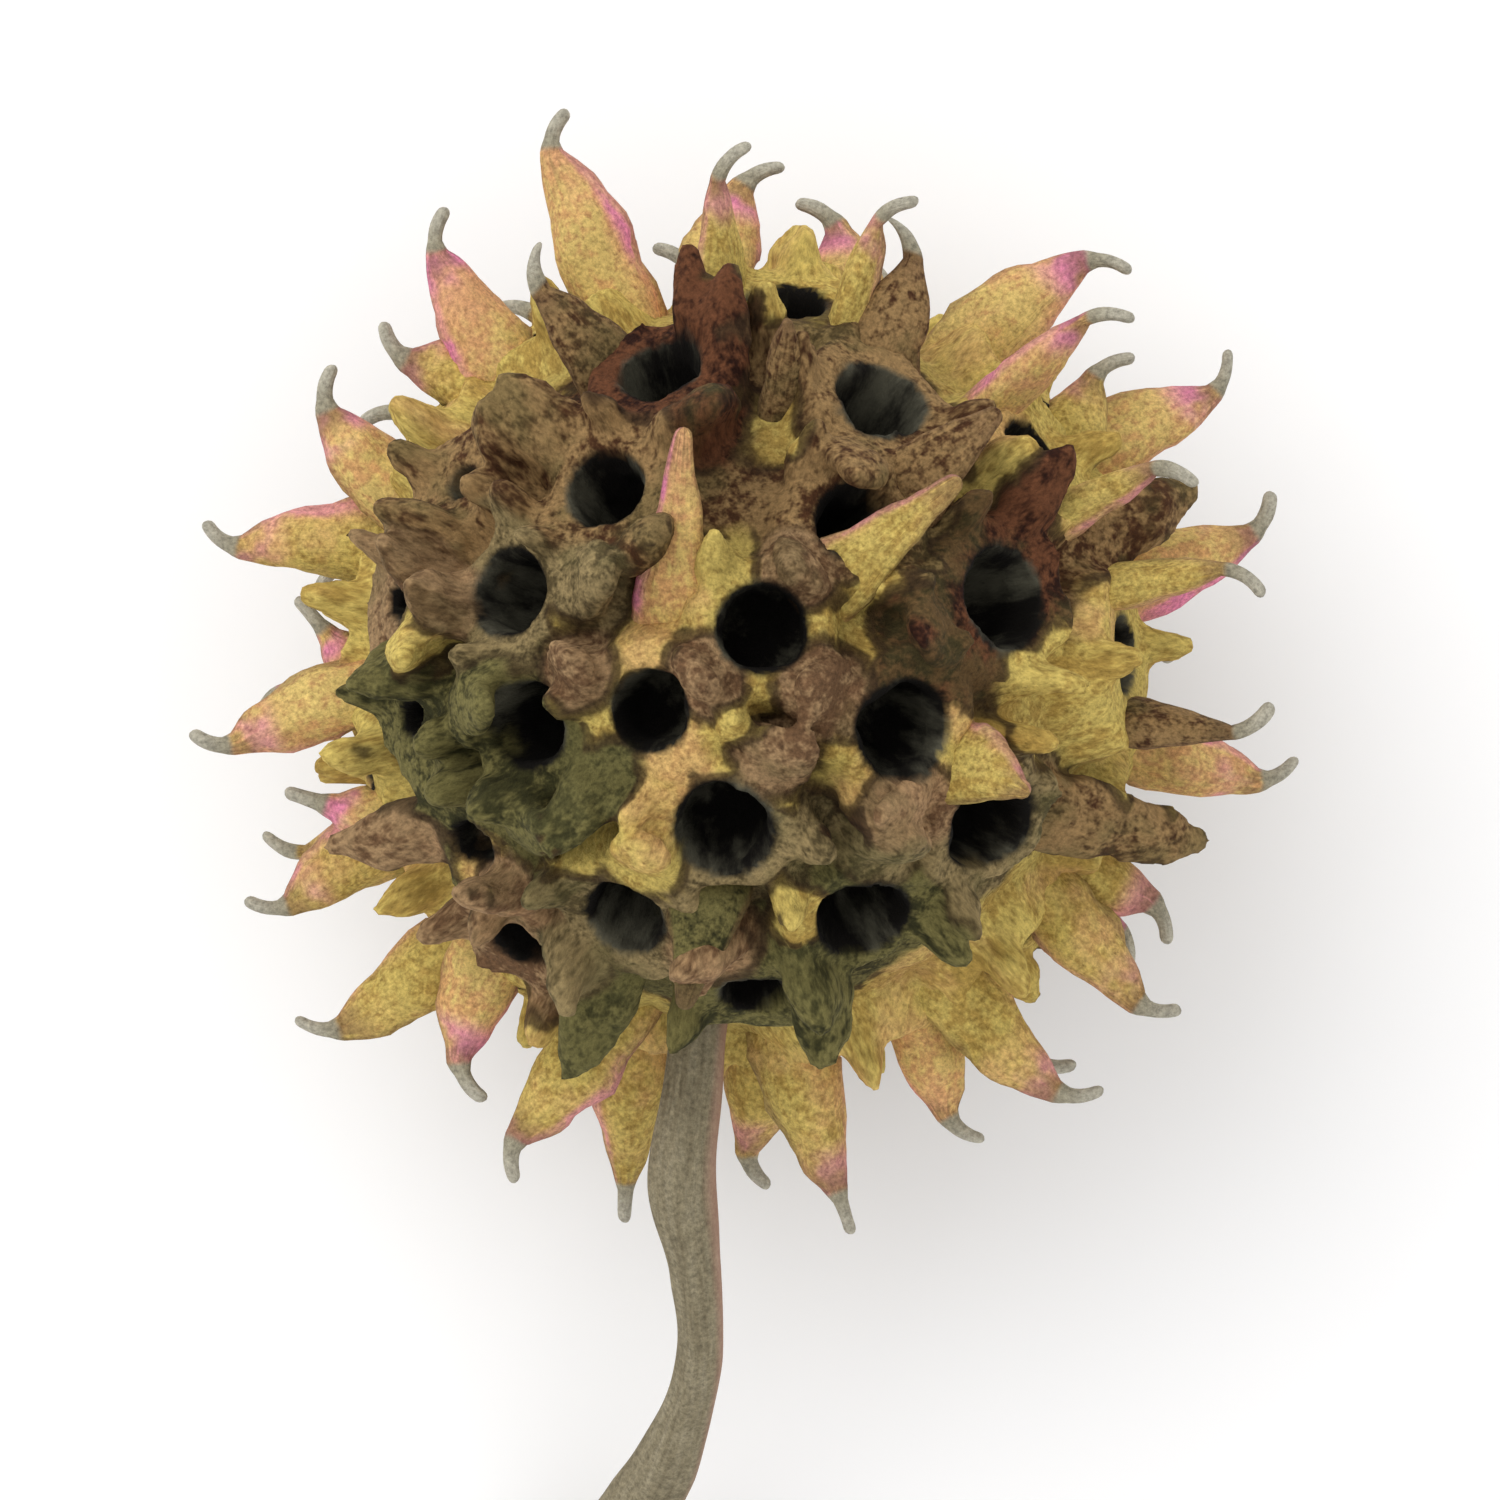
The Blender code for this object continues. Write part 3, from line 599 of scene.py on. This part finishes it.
def walls(capsules, lobes):
    """The core with all cups, fingers and lobes, fused, softened and given bumps and their colours."""
    bm = bmesh.new()
    bmesh.ops.create_icosphere(bm, subdivisions=CORE_SUBDIVISIONS, radius=WALL_CORE)
    body = mesh_object("capsule_walls", bm)
    draw = random.Random(SEED)
    parts = [cup(capsule) for capsule in capsules]
    for capsule in capsules:
        across = square_to(capsule.beaks[0].tip, capsule.axis)
        for side in (capsule.axis.cross(across), across.cross(capsule.axis)):
            parts.append(finger(capsule, side, draw.uniform(-FINGER_BEND, FINGER_BEND) * MM))
    for number, path in enumerate(lobes):
        lobe = bpy.data.objects.new("lobe", beak(path, phase=0, seed=number, blush_side=1))
        bpy.context.scene.collection.objects.link(lobe)
        parts.append(lobe)
    combine(body, "UNION", parts)
    combine(body, "DIFFERENCE", [pit(capsule) for capsule in capsules])
    remesh = body.modifiers.new("fuse", "REMESH")
    remesh.mode = "VOXEL"
    remesh.voxel_size = WALL_VOXEL
    smooth = body.modifiers.new("soften", "SMOOTH")
    smooth.factor = WALL_SOFTENING
    smooth.iterations = SOFTENING_ROUNDS
    fewer = body.modifiers.new("fewer", "DECIMATE")
    fewer.ratio = WALL_KEPT
    apply_modifiers(body)
    normals = [vert.normal.copy() for vert in body.data.vertices]
    for vert, normal in zip(body.data.vertices, normals):
        lift = sum(roughen(vert.co, size, size / MM) * amount for size, amount in WALL_WAVES)
        vert.co += normal * lift
    points = mesh_points(body.data)
    tones, line, mouth, height = wall_values(points, capsules, lobes)
    add_vectors(body.data, "pattern", along_radius(points))
    add_vectors(body.data, "light", tones[:, 0:3])
    add_vectors(body.data, "dark", tones[:, 3:6])
    add_values(body.data, "rosy", tones[:, 6])
    add_values(body.data, "line", line)
    # The mouth value is how much painted shade of a mouth's hollow each point gets.
    add_values(body.data, "mouth", mouth)
    add_values(body.data, "height", height)
    return body


# The beaks and their hooks.
BEAK_SIDES = 26
BEAK_STEPS_A_ROW = 5
HOOK_STEPS = 8
HOOK_LENGTH = 1.6 * MM
HOOK_RADIUS = 0.36 * MM
HOOK_END_RADIUS = 0.27 * MM
# A hook turns from the first to the last of these angles, in degrees. Its thickness settles from
# the beak's to its own at this rate, where 1 takes the whole hook.
HOOK_FIRST_TURN = 10
HOOK_LAST_TURN = 62
HOOK_SETTLING = 2.5
BEAK_FULLNESS = 0.98
INNER_FLATNESS = 0.75
GROOVES = 6
GROOVE_DEPTH = 0.03
# The grooves fade out up to this share of the way along.
GROOVES_END = 1.1
# How many units of the fibres' pattern run along a beak.
FIBRE_LENGTH = 3
# A beak keeps this far out of a mouth, as a share of the mouth's radius.
MOUTH_CLEAR = 1.15
NEARLY_NONE = 0.01 * MM
# The rounding of an end: how far on, as a share of the end's half-width, and how wide.
ROUND_END = ((0.5, 0.86), (0.85, 0.53), (1.0, 0.1))
# Wobbles of a beak's surface: their size, and their height as a share of its thickness there.
BEAK_WAVES = ((1.7 * MM, 0.24), (0.7 * MM, 0.10))


def hook_side(heading):
    """What is left of this heading as seen from above."""
    return square_to(Vector((0, 0, 1)).cross(heading), heading)


def curve_point(points, place):
    """The point at this place on the smooth curve through all the points."""
    i = min(int(place), len(points) - 2)
    t = place - i
    before, here, after = points[max(i - 1, 0)], points[i], points[i + 1]
    beyond = points[min(i + 2, len(points) - 1)]
    start, end = (after - before) / 2, (beyond - here) / 2
    return (
        here * (2 * t**3 - 3 * t**2 + 1)
        + start * (t**3 - 2 * t**2 + t)
        + after * (3 * t**2 - 2 * t**3)
        + end * (t**3 - t**2)
    )


def beak_sections(path):
    """Sections along a beak: how far along, centre, wide and thick; along is over 1 on the hook."""
    profile = {LOBE: LOBE_PROFILE, FLAME: FLAME_PROFILE}.get(path.form, HOOKED_PROFILE)
    rows = [Vector(row) for row in profile]
    sections = []
    for i in range((len(rows) - 1) * BEAK_STEPS_A_ROW + 1):
        share, width, thickness = curve_point(rows, i / BEAK_STEPS_A_ROW)
        point = path.root * (1 - share) ** 2 + path.bend * 2 * share * (1 - share) + path.tip * share**2
        heading = ((path.bend - path.root) * (1 - share) + (path.tip - path.bend) * share).normalized()
        width *= path.half_width * BEAK_FULLNESS
        thickness *= path.half_thickness * BEAK_FULLNESS
        sections.append((share, point, path.wide * width, path.wide.cross(heading) * thickness))
    if profile is HOOKED_PROFILE:
        for i in range(1, HOOK_STEPS + 1):
            share = i / HOOK_STEPS
            turn = HOOK_FIRST_TURN + (HOOK_LAST_TURN - HOOK_FIRST_TURN) * share
            angle = math.radians(turn) * path.form
            turned = heading * math.cos(angle) + hook_side(heading) * math.sin(angle)
            point = point + turned * HOOK_LENGTH / HOOK_STEPS
            settled = min(share * HOOK_SETTLING, 1)
            radius = HOOK_RADIUS + (HOOK_END_RADIUS - HOOK_RADIUS) * share
            across = path.wide * (width + (radius - width) * settled)
            through = path.wide.cross(turned) * (thickness + (radius - thickness) * settled)
            sections.append((1 + share, point, across, through))
        heading = turned
    along, point, wide, thick = sections[-1]
    for on, size in ROUND_END:
        sections.append((along, point + heading * wide.length * on, wide * size, thick * size))
    return sections


def beak(path, phase, seed, blush_side):
    """The mesh of one beak, grooved and uneven, with the values that its paint uses."""
    bm = bmesh.new()
    names = ("along", "edge", "blush", "rosy", "hooked")
    values = {name: bm.verts.layers.float.new(name) for name in names}
    vectors = {name: bm.verts.layers.float_vector.new(name) for name in ("fibre", "light", "dark")}
    sections = beak_sections(path)
    for (along, centre, wide, thick), ring in zip(sections, grow_rings(bm, len(sections), BEAK_SIDES)):
        grooved = min(max(GROOVES_END - along, 0), 1)
        aside = hook_side(wide.cross(thick))
        reach = math.hypot(wide.dot(aside), thick.dot(aside))
        for i, vert in enumerate(ring):
            angle = math.tau * i / BEAK_SIDES
            inner = INNER_FLATNESS if math.cos(angle) < 0 else 1
            groove = 1 + GROOVE_DEPTH * math.cos(GROOVES * angle + phase) * grooved
            offset = (wide * math.sin(angle) + thick * math.cos(angle) * inner) * groove
            vert.co = centre + offset
            for number, (size, amount) in enumerate(BEAK_WAVES):
                vert.co += offset * amount * roughen(centre + offset, size, seed + number)
            vert[values["along"]] = along
            vert[values["edge"]] = abs(offset.dot(aside)) / reach
            vert[values["blush"]] = offset.dot(aside) / reach * blush_side
            vert[values["rosy"]] = path.tone.rosy
            vert[values["hooked"]] = path.form not in (LOBE, FLAME)
            along_fibres = along * FIBRE_LENGTH + seed
            vert[vectors["fibre"]] = Vector((math.sin(angle), math.cos(angle), along_fibres))
            vert[vectors["light"]] = path.tone.light
            vert[vectors["dark"]] = path.tone.dark
    bmesh.ops.recalc_face_normals(bm, faces=bm.faces)
    mesh = bpy.data.meshes.new("beak")
    bm.to_mesh(mesh)
    bm.free()
    return mesh


def clear_mouths(mesh, capsules):
    """Moves what a beak's root has inside a mouth out to the wall."""
    points = mesh_points(mesh)
    for capsule in capsules:
        axis = np.array(capsule.axis[:])
        height = points @ axis
        off = points - height[:, None] * axis
        across = np.linalg.norm(off, axis=1)
        keep = capsule.mouth * MOUTH_CLEAR
        inside = (across < keep) & (height > 0) & (height < RIM)
        off *= (keep / np.maximum(across, NEARLY_NONE))[:, None]
        points[inside] = (height[:, None] * axis + off)[inside]
    mesh.vertices.foreach_set("co", points.astype(np.float32).ravel())


def beaks(paths, capsules):
    """All beaks of these paths as one piece."""
    draw = random.Random(SEED)
    together = bmesh.new()
    for path in paths:
        mesh = beak(path, draw.uniform(0, math.tau), draw.uniform(0, 100), draw.choice((-1, 1)))
        together.from_mesh(mesh)
        bpy.data.meshes.remove(mesh)
    made = mesh_object("beaks", together)
    clear_mouths(made.data, capsules)
    return made


# The stalk.
STALK_SIDES = 28
STALK_STEPS = 16
STALK_RIBS = 5
STALK_RIB_TWIST = 3
STALK_RIB_DEPTH = 0.05
STALK_LUMPS = 0.1
STALK_LUMP_SIZE = 2.5 * MM
STALK_FIBRE_LENGTH = 30


def stalk():
    """The ribbed stalk, from inside the head to its cut end on the surface."""
    outward = direction(*STALK_DIRECTION)
    rows = [Vector((*(outward * distance), STALK_NECK_RADIUS)) for distance in (STALK_ROOT, STALK_NECK)]
    rows += [Vector(row) * MM for row in STALK_ROUTE]
    count = (len(rows) - 1) * STALK_STEPS + 1
    stations = [curve_point(rows, i / STALK_STEPS) for i in range(count)]
    bm = bmesh.new()
    along_layer = bm.verts.layers.float.new("along")
    side_layer = bm.verts.layers.float.new("side")
    fibre = bm.verts.layers.float_vector.new("fibre")
    for number, ring in enumerate(grow_rings(bm, count, STALK_SIDES)):
        centre, radius = stations[number].xyz, stations[number].w
        ahead = stations[min(number + 1, count - 1)].xyz - stations[max(number - 1, 0)].xyz
        heading = ahead.normalized()
        wide = heading.cross(Vector((1, 0, 0))).normalized()
        for i, vert in enumerate(ring):
            angle = math.tau * i / STALK_SIDES
            out = wide * math.cos(angle) + wide.cross(heading) * math.sin(angle)
            along = number / (count - 1)
            rib = 1 + STALK_RIB_DEPTH * math.cos(STALK_RIBS * angle + STALK_RIB_TWIST * along)
            vert.co = centre + out * radius * rib
            vert.co += out * radius * STALK_LUMPS * roughen(vert.co, STALK_LUMP_SIZE)
            vert[along_layer] = along
            vert[side_layer] = out.x
            vert[fibre] = Vector((math.cos(angle), math.sin(angle), along * STALK_FIBRE_LENGTH))
    return mesh_object("woody_stalk", bm)


# Finishes.
DULL_SPECULAR = 0.12
# Turns a pattern off the axes, where its lattice would show as fine lines on level walls.
NOISE_TURN = (0.6, 0.9, 0.4)


class Paint:
    """A Principled material put together from named node steps."""

    def __init__(self, name, roughness):
        self.material = bpy.data.materials.new(name)
        self.material.use_nodes = True
        self.tree = self.material.node_tree
        self.shader = self.tree.nodes["Principled BSDF"]
        self.shader.inputs["Roughness"].default_value = roughness
        self.shader.inputs["Specular IOR Level"].default_value = DULL_SPECULAR

    def add(self, kind, **settings):
        node = self.tree.nodes.new(kind)
        for key, value in settings.items():
            setattr(node, key, value)
        return node

    def put(self, source, target):
        """Sets an input to a number or a colour, or links an output to it."""
        if isinstance(source, bpy.types.NodeSocket):
            self.tree.links.new(source, target)
        else:
            target.default_value = source

    def value(self, name):
        return self.add("ShaderNodeAttribute", attribute_name=name).outputs["Fac"]

    def vector(self, name):
        return self.add("ShaderNodeAttribute", attribute_name=name).outputs["Vector"]

    def place(self):
        return self.add("ShaderNodeTexCoord").outputs["Object"]

    def noise(self, where, scale, detail=4.0, roughness=0.55, stretch=(1, 1, 1)):
        mapping = self.add("ShaderNodeMapping")
        mapping.inputs["Scale"].default_value = stretch
        mapping.inputs["Rotation"].default_value = NOISE_TURN
        self.put(where, mapping.inputs["Vector"])
        node = self.add("ShaderNodeTexNoise")
        node.inputs["Scale"].default_value = scale
        node.inputs["Detail"].default_value = detail
        node.inputs["Roughness"].default_value = roughness
        self.put(mapping.outputs["Vector"], node.inputs["Vector"])
        return node.outputs["Fac"]

    def math(self, operation, first, second=0.0, third=0.0):
        node = self.add("ShaderNodeMath", operation=operation)
        self.put(first, node.inputs[0])
        self.put(second, node.inputs[1])
        self.put(third, node.inputs[2])
        return node.outputs[0]

    def times(self, first, *others):
        """The product of all these values."""
        for other in others:
            first = self.math("MULTIPLY", first, other)
        return first

    def weigh(self, share, first, second):
        """This share of the first value and the rest of the second."""
        return self.math("ADD", self.times(first, share), self.times(second, 1 - share))

    def grey(self, value):
        node = self.add("ShaderNodeCombineColor")
        for socket in node.inputs:
            self.put(value, socket)
        return node.outputs[0]

    def between(self, low, high, value):
        """0 below low, 1 above high, and smooth between them."""
        node = self.add("ShaderNodeMapRange", interpolation_type="SMOOTHSTEP")
        node.inputs["From Min"].default_value = low
        node.inputs["From Max"].default_value = high
        self.put(value, node.inputs["Value"])
        return node.outputs["Result"]

    def ramp(self, value, stops):
        node = self.add("ShaderNodeValToRGB")
        while len(node.color_ramp.elements) < len(stops):
            node.color_ramp.elements.new(0.5)
        for element, (position, colour) in zip(node.color_ramp.elements, stops):
            element.position = position
            element.color = (*colour, 1)
        self.put(value, node.inputs["Fac"])
        return node.outputs["Color"]

    def mix(self, share, first, second, blend="MIX"):
        """The first colour with this share of the second over it, or multiplied in."""
        node = self.add("ShaderNodeMix", data_type="RGBA", blend_type=blend)
        self.put(share, node.inputs["Factor"])
        # Inputs 6 and 7 and output 2 are the ones for colours.
        for colour, socket in ((first, node.inputs[6]), (second, node.inputs[7])):
            self.put((*colour, 1) if isinstance(colour, tuple) else colour, socket)
        return node.outputs[2]

    def bump(self, height, strength, distance):
        node = self.add("ShaderNodeBump")
        node.inputs["Strength"].default_value = strength
        node.inputs["Distance"].default_value = distance
        self.put(height, node.inputs["Height"])
        self.put(node.outputs["Normal"], self.shader.inputs["Normal"])

    def colour(self, colour):
        self.put(colour, self.shader.inputs["Base Color"])
        return self.material


# Sizes of the patterns, in features a metre.
GRANULE_SCALE = 5200
SPECK_SCALE = 2600
MOTTLE_SCALE = 420
STALK_SCALE = 300
TIP_SCALE = 260
MOSS_SCALE = 230
PEACH_SCALE = 190

# In every pair of numbers below, the paint is absent at the first and full at the second.
PEACH = (0.60, 0.31, 0.16)
MOSS = (0.085, 0.078, 0.028)
MOTTLE_SHARE = 0.62
LIGHT_WOOD = (0.41, 0.55)
PEACH_PATCHES = (0.50, 0.66)
PEACH_STRENGTH = 0.8
MOSS_PATCHES = (0.50, 0.62)
MOSS_ROSY = (0.45, 0.0)
MOSS_STRENGTH = 0.45
GRANULE_CONTRAST = 2.0


def washed(paint, place, grain, rosy):
    """Wood that mottles from dark to light, with peach patches where rosy and mossy ones elsewhere."""
    specks = paint.noise(place, SPECK_SCALE, detail=2, roughness=0.6)
    lightness = paint.between(*LIGHT_WOOD, paint.weigh(MOTTLE_SHARE, grain, specks))
    colour = paint.mix(lightness, paint.vector("dark"), paint.vector("light"))
    patches = paint.between(*PEACH_PATCHES, paint.noise(place, PEACH_SCALE, detail=4, roughness=0.6))
    colour = paint.mix(paint.times(patches, rosy, PEACH_STRENGTH), colour, PEACH)
    mossy = paint.between(*MOSS_PATCHES, paint.noise(place, MOSS_SCALE, detail=4, roughness=0.6))
    mossy = paint.times(mossy, paint.between(*MOSS_ROSY, rosy), MOSS_STRENGTH)
    return paint.mix(mossy, colour, MOSS)


def granules(paint, place, colour):
    """A colour with fine light and dark grains all over, and the grains themselves."""
    fine = paint.noise(place, GRANULE_SCALE, detail=3, roughness=0.75)
    lighter = paint.times(fine, GRANULE_CONTRAST)
    return paint.mix(1.0, colour, paint.grey(lighter), blend="MULTIPLY"), fine


# The dark brown of the lines between tones and of the painted shade in the crevices between capsules.
LINE_AND_SHADE_BROWN = (0.035, 0.02, 0.01)
# Painted shade in the mouths' hollows: near-black, with grey-green patches.
MOUTH_SHADE_BLACK = (0.006, 0.005, 0.004)
MOUTH_SHADE_GREEN = (0.085, 0.08, 0.056)
BORDER_LINE = (0.05, 0.6)
BORDER_LINE_STRENGTH = 0.8
# Distances from the head's centre, in mm, between which the walls get darker inward: painted shade in the
# crevices between capsules.
LOW_WALL_SHADE = (13.3, 12.7)
LOW_WALL_SHADE_STRENGTH = 0.2
# Where the painted shade in the mouths turns grey-green.
MOUTH_SHADE_GREEN_PATCHES = (0.47, 0.66)
WALL_FINE_BUMPS = 0.3


def wall_paint():
    paint = Paint("capsule_wall_wood", 0.9)
    place = paint.vector("pattern")
    mottle = paint.noise(place, MOTTLE_SCALE, detail=6, roughness=0.62)
    colour = washed(paint, place, mottle, paint.value("rosy"))
    line = paint.times(paint.between(*BORDER_LINE, paint.value("line")), BORDER_LINE_STRENGTH)
    colour = paint.mix(line, colour, LINE_AND_SHADE_BROWN)
    # Painted shade: the walls darken toward the crevices between capsules.
    low = paint.times(paint.between(*LOW_WALL_SHADE, paint.value("height")), LOW_WALL_SHADE_STRENGTH)
    colour = paint.mix(low, colour, LINE_AND_SHADE_BROWN)
    colour, fine = granules(paint, place, colour)
    # Painted shade: the mouths' hollows, and what lies in them, are painted near-black with grey-green
    # patches.
    mouth_shade = paint.mix(paint.between(*MOUTH_SHADE_GREEN_PATCHES, mottle), MOUTH_SHADE_BLACK, MOUTH_SHADE_GREEN)
    colour = paint.mix(paint.value("mouth"), colour, mouth_shade)
    height = paint.math("MULTIPLY_ADD", fine, WALL_FINE_BUMPS, third=mottle)
    paint.bump(height, strength=0.8, distance=0.35 * MM)
    return paint.colour(colour)


ROSE = (0.68, 0.27, 0.18)
MAGENTA = (0.66, 0.19, 0.36)
TIP_BROWN = (0.16, 0.09, 0.045)
HOOK_GREY = (0.31, 0.28, 0.20)
HOOK_PALE = (0.42, 0.39, 0.31)
BEAK_MOTTLE_SHARE = 0.6
# Rose wash: toward the tip and along one edge, where the mottle allows it.
ROSE_END = (0.55, 1.0)
ROSE_END_STRENGTH = 0.3
ROSE_EDGE = (0.35, 0.9)
ROSE_EDGE_STRENGTH = 0.6
ROSE_MOTTLE = (0.38, 0.6)
# Magenta: a broken line along the same edge, from some way along, and patches on hooked tips.
RIM_EDGE = (0.62, 0.86)
RIM_START = (0.15, 0.5)
RIM_MOTTLE = (0.44, 0.58)
RIM_LEAST = 0.4
TIP_PATCHES = (0.48, 0.60)
TIP_START = (0.70, 0.92)
MAGENTA_ROSY = (0.1, 0.9)
MAGENTA_STRENGTH = 0.85
# Brown: a line along both edges where there is no magenta, and patches on the tip.
OUTLINE_EDGE = (0.86, 1.0)
OUTLINE_STRENGTH = 0.5
BROWN_START = (0.80, 1.0)
BROWN_MOTTLE = (0.42, 0.52)
BROWN_STRENGTH = 0.6
# Grey: the hook, from an uneven border on, paler toward its end.
HOOK_BORDER = (1.08, 1.25)
HOOK_UNEVEN = 0.3
HOOK_PALING = (1.2, 1.9)
BEAK_MOTTLE_BUMPS = 0.5
BEAK_FINE_BUMPS = 0.2


def beak_paint():
    paint = Paint("beak_wood", 0.85)
    place = paint.place()
    mottle = paint.noise(place, MOTTLE_SCALE, detail=5, roughness=0.6)
    fibres = paint.noise(paint.vector("fibre"), 3.4, detail=5, roughness=0.65, stretch=(1, 1, 0.2))
    streaked = paint.weigh(BEAK_MOTTLE_SHARE, mottle, fibres)
    along, edge, rosy, one_edge = (paint.value(name) for name in ("along", "edge", "rosy", "blush"))
    colour = washed(paint, place, streaked, rosy)
    blush = paint.times(paint.between(*ROSE_EDGE, one_edge), ROSE_EDGE_STRENGTH)
    blush = paint.math("MULTIPLY_ADD", paint.between(*ROSE_END, along), ROSE_END_STRENGTH, third=blush)
    blush = paint.times(blush, rosy, paint.between(*ROSE_MOTTLE, mottle))
    colour = paint.mix(blush, colour, ROSE)
    broken = paint.between(*RIM_MOTTLE, mottle)
    broken = paint.math("MULTIPLY_ADD", broken, 1 - RIM_LEAST, third=RIM_LEAST)
    rim = paint.times(paint.between(*RIM_EDGE, one_edge), paint.between(*RIM_START, along), broken)
    patches = paint.between(*TIP_PATCHES, paint.noise(place, TIP_SCALE, detail=3))
    tip = paint.times(paint.between(*TIP_START, along), patches, paint.value("hooked"))
    magenta = paint.times(paint.math("MAXIMUM", rim, tip), paint.between(*MAGENTA_ROSY, rosy))
    colour = paint.mix(paint.times(magenta, MAGENTA_STRENGTH), colour, MAGENTA)
    outline = paint.times(paint.between(*OUTLINE_EDGE, edge), OUTLINE_STRENGTH)
    outline = paint.times(outline, paint.math("SUBTRACT", 1.0, magenta))
    colour = paint.mix(outline, colour, TIP_BROWN)
    browned = paint.times(paint.between(*BROWN_START, along), paint.between(*BROWN_MOTTLE, streaked))
    colour = paint.mix(paint.times(browned, BROWN_STRENGTH), colour, TIP_BROWN)
    uneven = paint.math("MULTIPLY_ADD", mottle, HOOK_UNEVEN, third=-HOOK_UNEVEN / 2)
    hook = paint.between(*HOOK_BORDER, paint.math("ADD", along, uneven))
    greys = paint.mix(paint.between(*HOOK_PALING, along), HOOK_GREY, HOOK_PALE)
    colour = paint.mix(hook, colour, greys)
    colour, fine = granules(paint, place, colour)
    height = paint.math("MULTIPLY_ADD", mottle, BEAK_MOTTLE_BUMPS, third=fibres)
    height = paint.math("MULTIPLY_ADD", fine, BEAK_FINE_BUMPS, third=height)
    paint.bump(height, strength=0.6, distance=0.3 * MM)
    return paint.colour(colour)


STALK_PAINT = ((0.3, (0.13, 0.105, 0.062)), (0.5, (0.21, 0.178, 0.112)), (0.7, (0.28, 0.243, 0.165)))
STALK_GRAIN_SHARE = 0.4
# A rosy wash along the side of the stalk that faces +X.
STALK_WASH = (0.42, 0.22, 0.17)
STALK_WASH_SIDE = (0.55, 0.95)
STALK_WASH_STRENGTH = 0.55


def stalk_paint():
    paint = Paint("stalk_wood", 0.75)
    place = paint.place()
    grain = paint.noise(place, STALK_SCALE, detail=5)
    fibres = paint.noise(paint.vector("fibre"), 4.0, detail=5, roughness=0.6, stretch=(1, 1, 0.12))
    streaked = paint.weigh(STALK_GRAIN_SHARE, grain, fibres)
    colour, fine = granules(paint, place, paint.ramp(streaked, STALK_PAINT))
    side = paint.times(paint.between(*STALK_WASH_SIDE, paint.value("side")), STALK_WASH_STRENGTH)
    colour = paint.mix(side, colour, STALK_WASH)
    paint.bump(fibres, strength=0.5, distance=0.2 * MM)
    return paint.colour(colour)


# Putting the pieces on the frame.
def rest_on_surface(obj):
    """Moves a piece from the head's centre to its place, and cuts off what is below the surface."""
    bm = bmesh.new()
    bm.from_mesh(obj.data)
    bmesh.ops.translate(bm, verts=bm.verts, vec=HEAD_CENTRE)
    whole = bm.verts[:] + bm.edges[:] + bm.faces[:]
    down = (0, 0, -1)
    cut = bmesh.ops.bisect_plane(bm, geom=whole, plane_co=(0, 0, 0), plane_no=down, clear_outer=True)
    edges = [item for item in cut["geom_cut"] if isinstance(item, bmesh.types.BMEdge)]
    if edges:
        bmesh.ops.edgeloop_fill(bm, edges=edges)
    bm.to_mesh(obj.data)
    bm.free()


def dress(obj, node, material):
    obj.data.materials.clear()
    obj.data.materials.append(material)
    obj.data.shade_smooth()
    rest_on_surface(obj)
    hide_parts(node)
    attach(obj, "root")


FLOOR_HALF_WIDTH = 1.2
FLOOR_COLOUR = (0.94, 0.94, 0.945, 1)


def floor():
    bm = bmesh.new()
    bmesh.ops.create_grid(bm, x_segments=1, y_segments=1, size=FLOOR_HALF_WIDTH)
    obj = mesh_object("floor", bm)
    paint = Paint("pale_floor", 0.9)
    obj.data.materials.append(paint.colour(FLOOR_COLOUR))


def area_light(name, place, size, power):
    light = bpy.data.lights.new(name, "AREA")
    light.shape = "DISK"
    light.size = size
    light.energy = power
    obj = bpy.data.objects.new(name, light)
    obj.location = place
    obj.rotation_euler = (HEAD_CENTRE - Vector(place)).to_track_quat("-Z", "Y").to_euler()
    bpy.context.scene.collection.objects.link(obj)


def lights():
    area_light("key", place=(-0.22, 0.25, 0.42), size=0.5, power=1.15)
    world = bpy.data.worlds.new("studio")
    bpy.context.scene.world = world
    world.use_nodes = True
    background = world.node_tree.nodes["Background"]
    background.inputs["Color"].default_value = (1.0, 1.0, 1.0, 1)
    background.inputs["Strength"].default_value = 1.0
    bpy.context.scene.view_settings.view_transform = "Standard"


# The picture's frame is this wide at the head's middle, and the head's centre is up from its own.
PICTURE_WIDTH = 1500 * 0.0356 * MM
CAMERA_SHIFT = Vector((0.18, -3.03, 0.0)) * MM
CAMERA_HEIGHT = 0.55
NEAREST_SEEN = 0.01
SENSOR = 36


def camera():
    data = bpy.data.cameras.new("camera")
    data.sensor_width = SENSOR
    data.lens = SENSOR * CAMERA_HEIGHT / PICTURE_WIDTH
    data.clip_start = NEAREST_SEEN
    obj = bpy.data.objects.new("camera", data)
    obj.location = HEAD_CENTRE + CAMERA_SHIFT + Vector((0, 0, CAMERA_HEIGHT))
    bpy.context.scene.collection.objects.link(obj)
    bpy.context.scene.camera = obj


CAPSULES = place_capsules()
camera()
lights()
floor()
FLAMES = place_lone_flames()
PATHS = [path for capsule in CAPSULES for path in capsule.beaks] + FLAMES
LOBES = [path for path in PATHS if path.form == LOBE]
dress(walls(CAPSULES, LOBES), "seed_head", wall_paint())
dress(beaks([path for path in PATHS if path.form != LOBE], CAPSULES), "seed_head", beak_paint())
dress(stalk(), "stalk", stalk_paint())
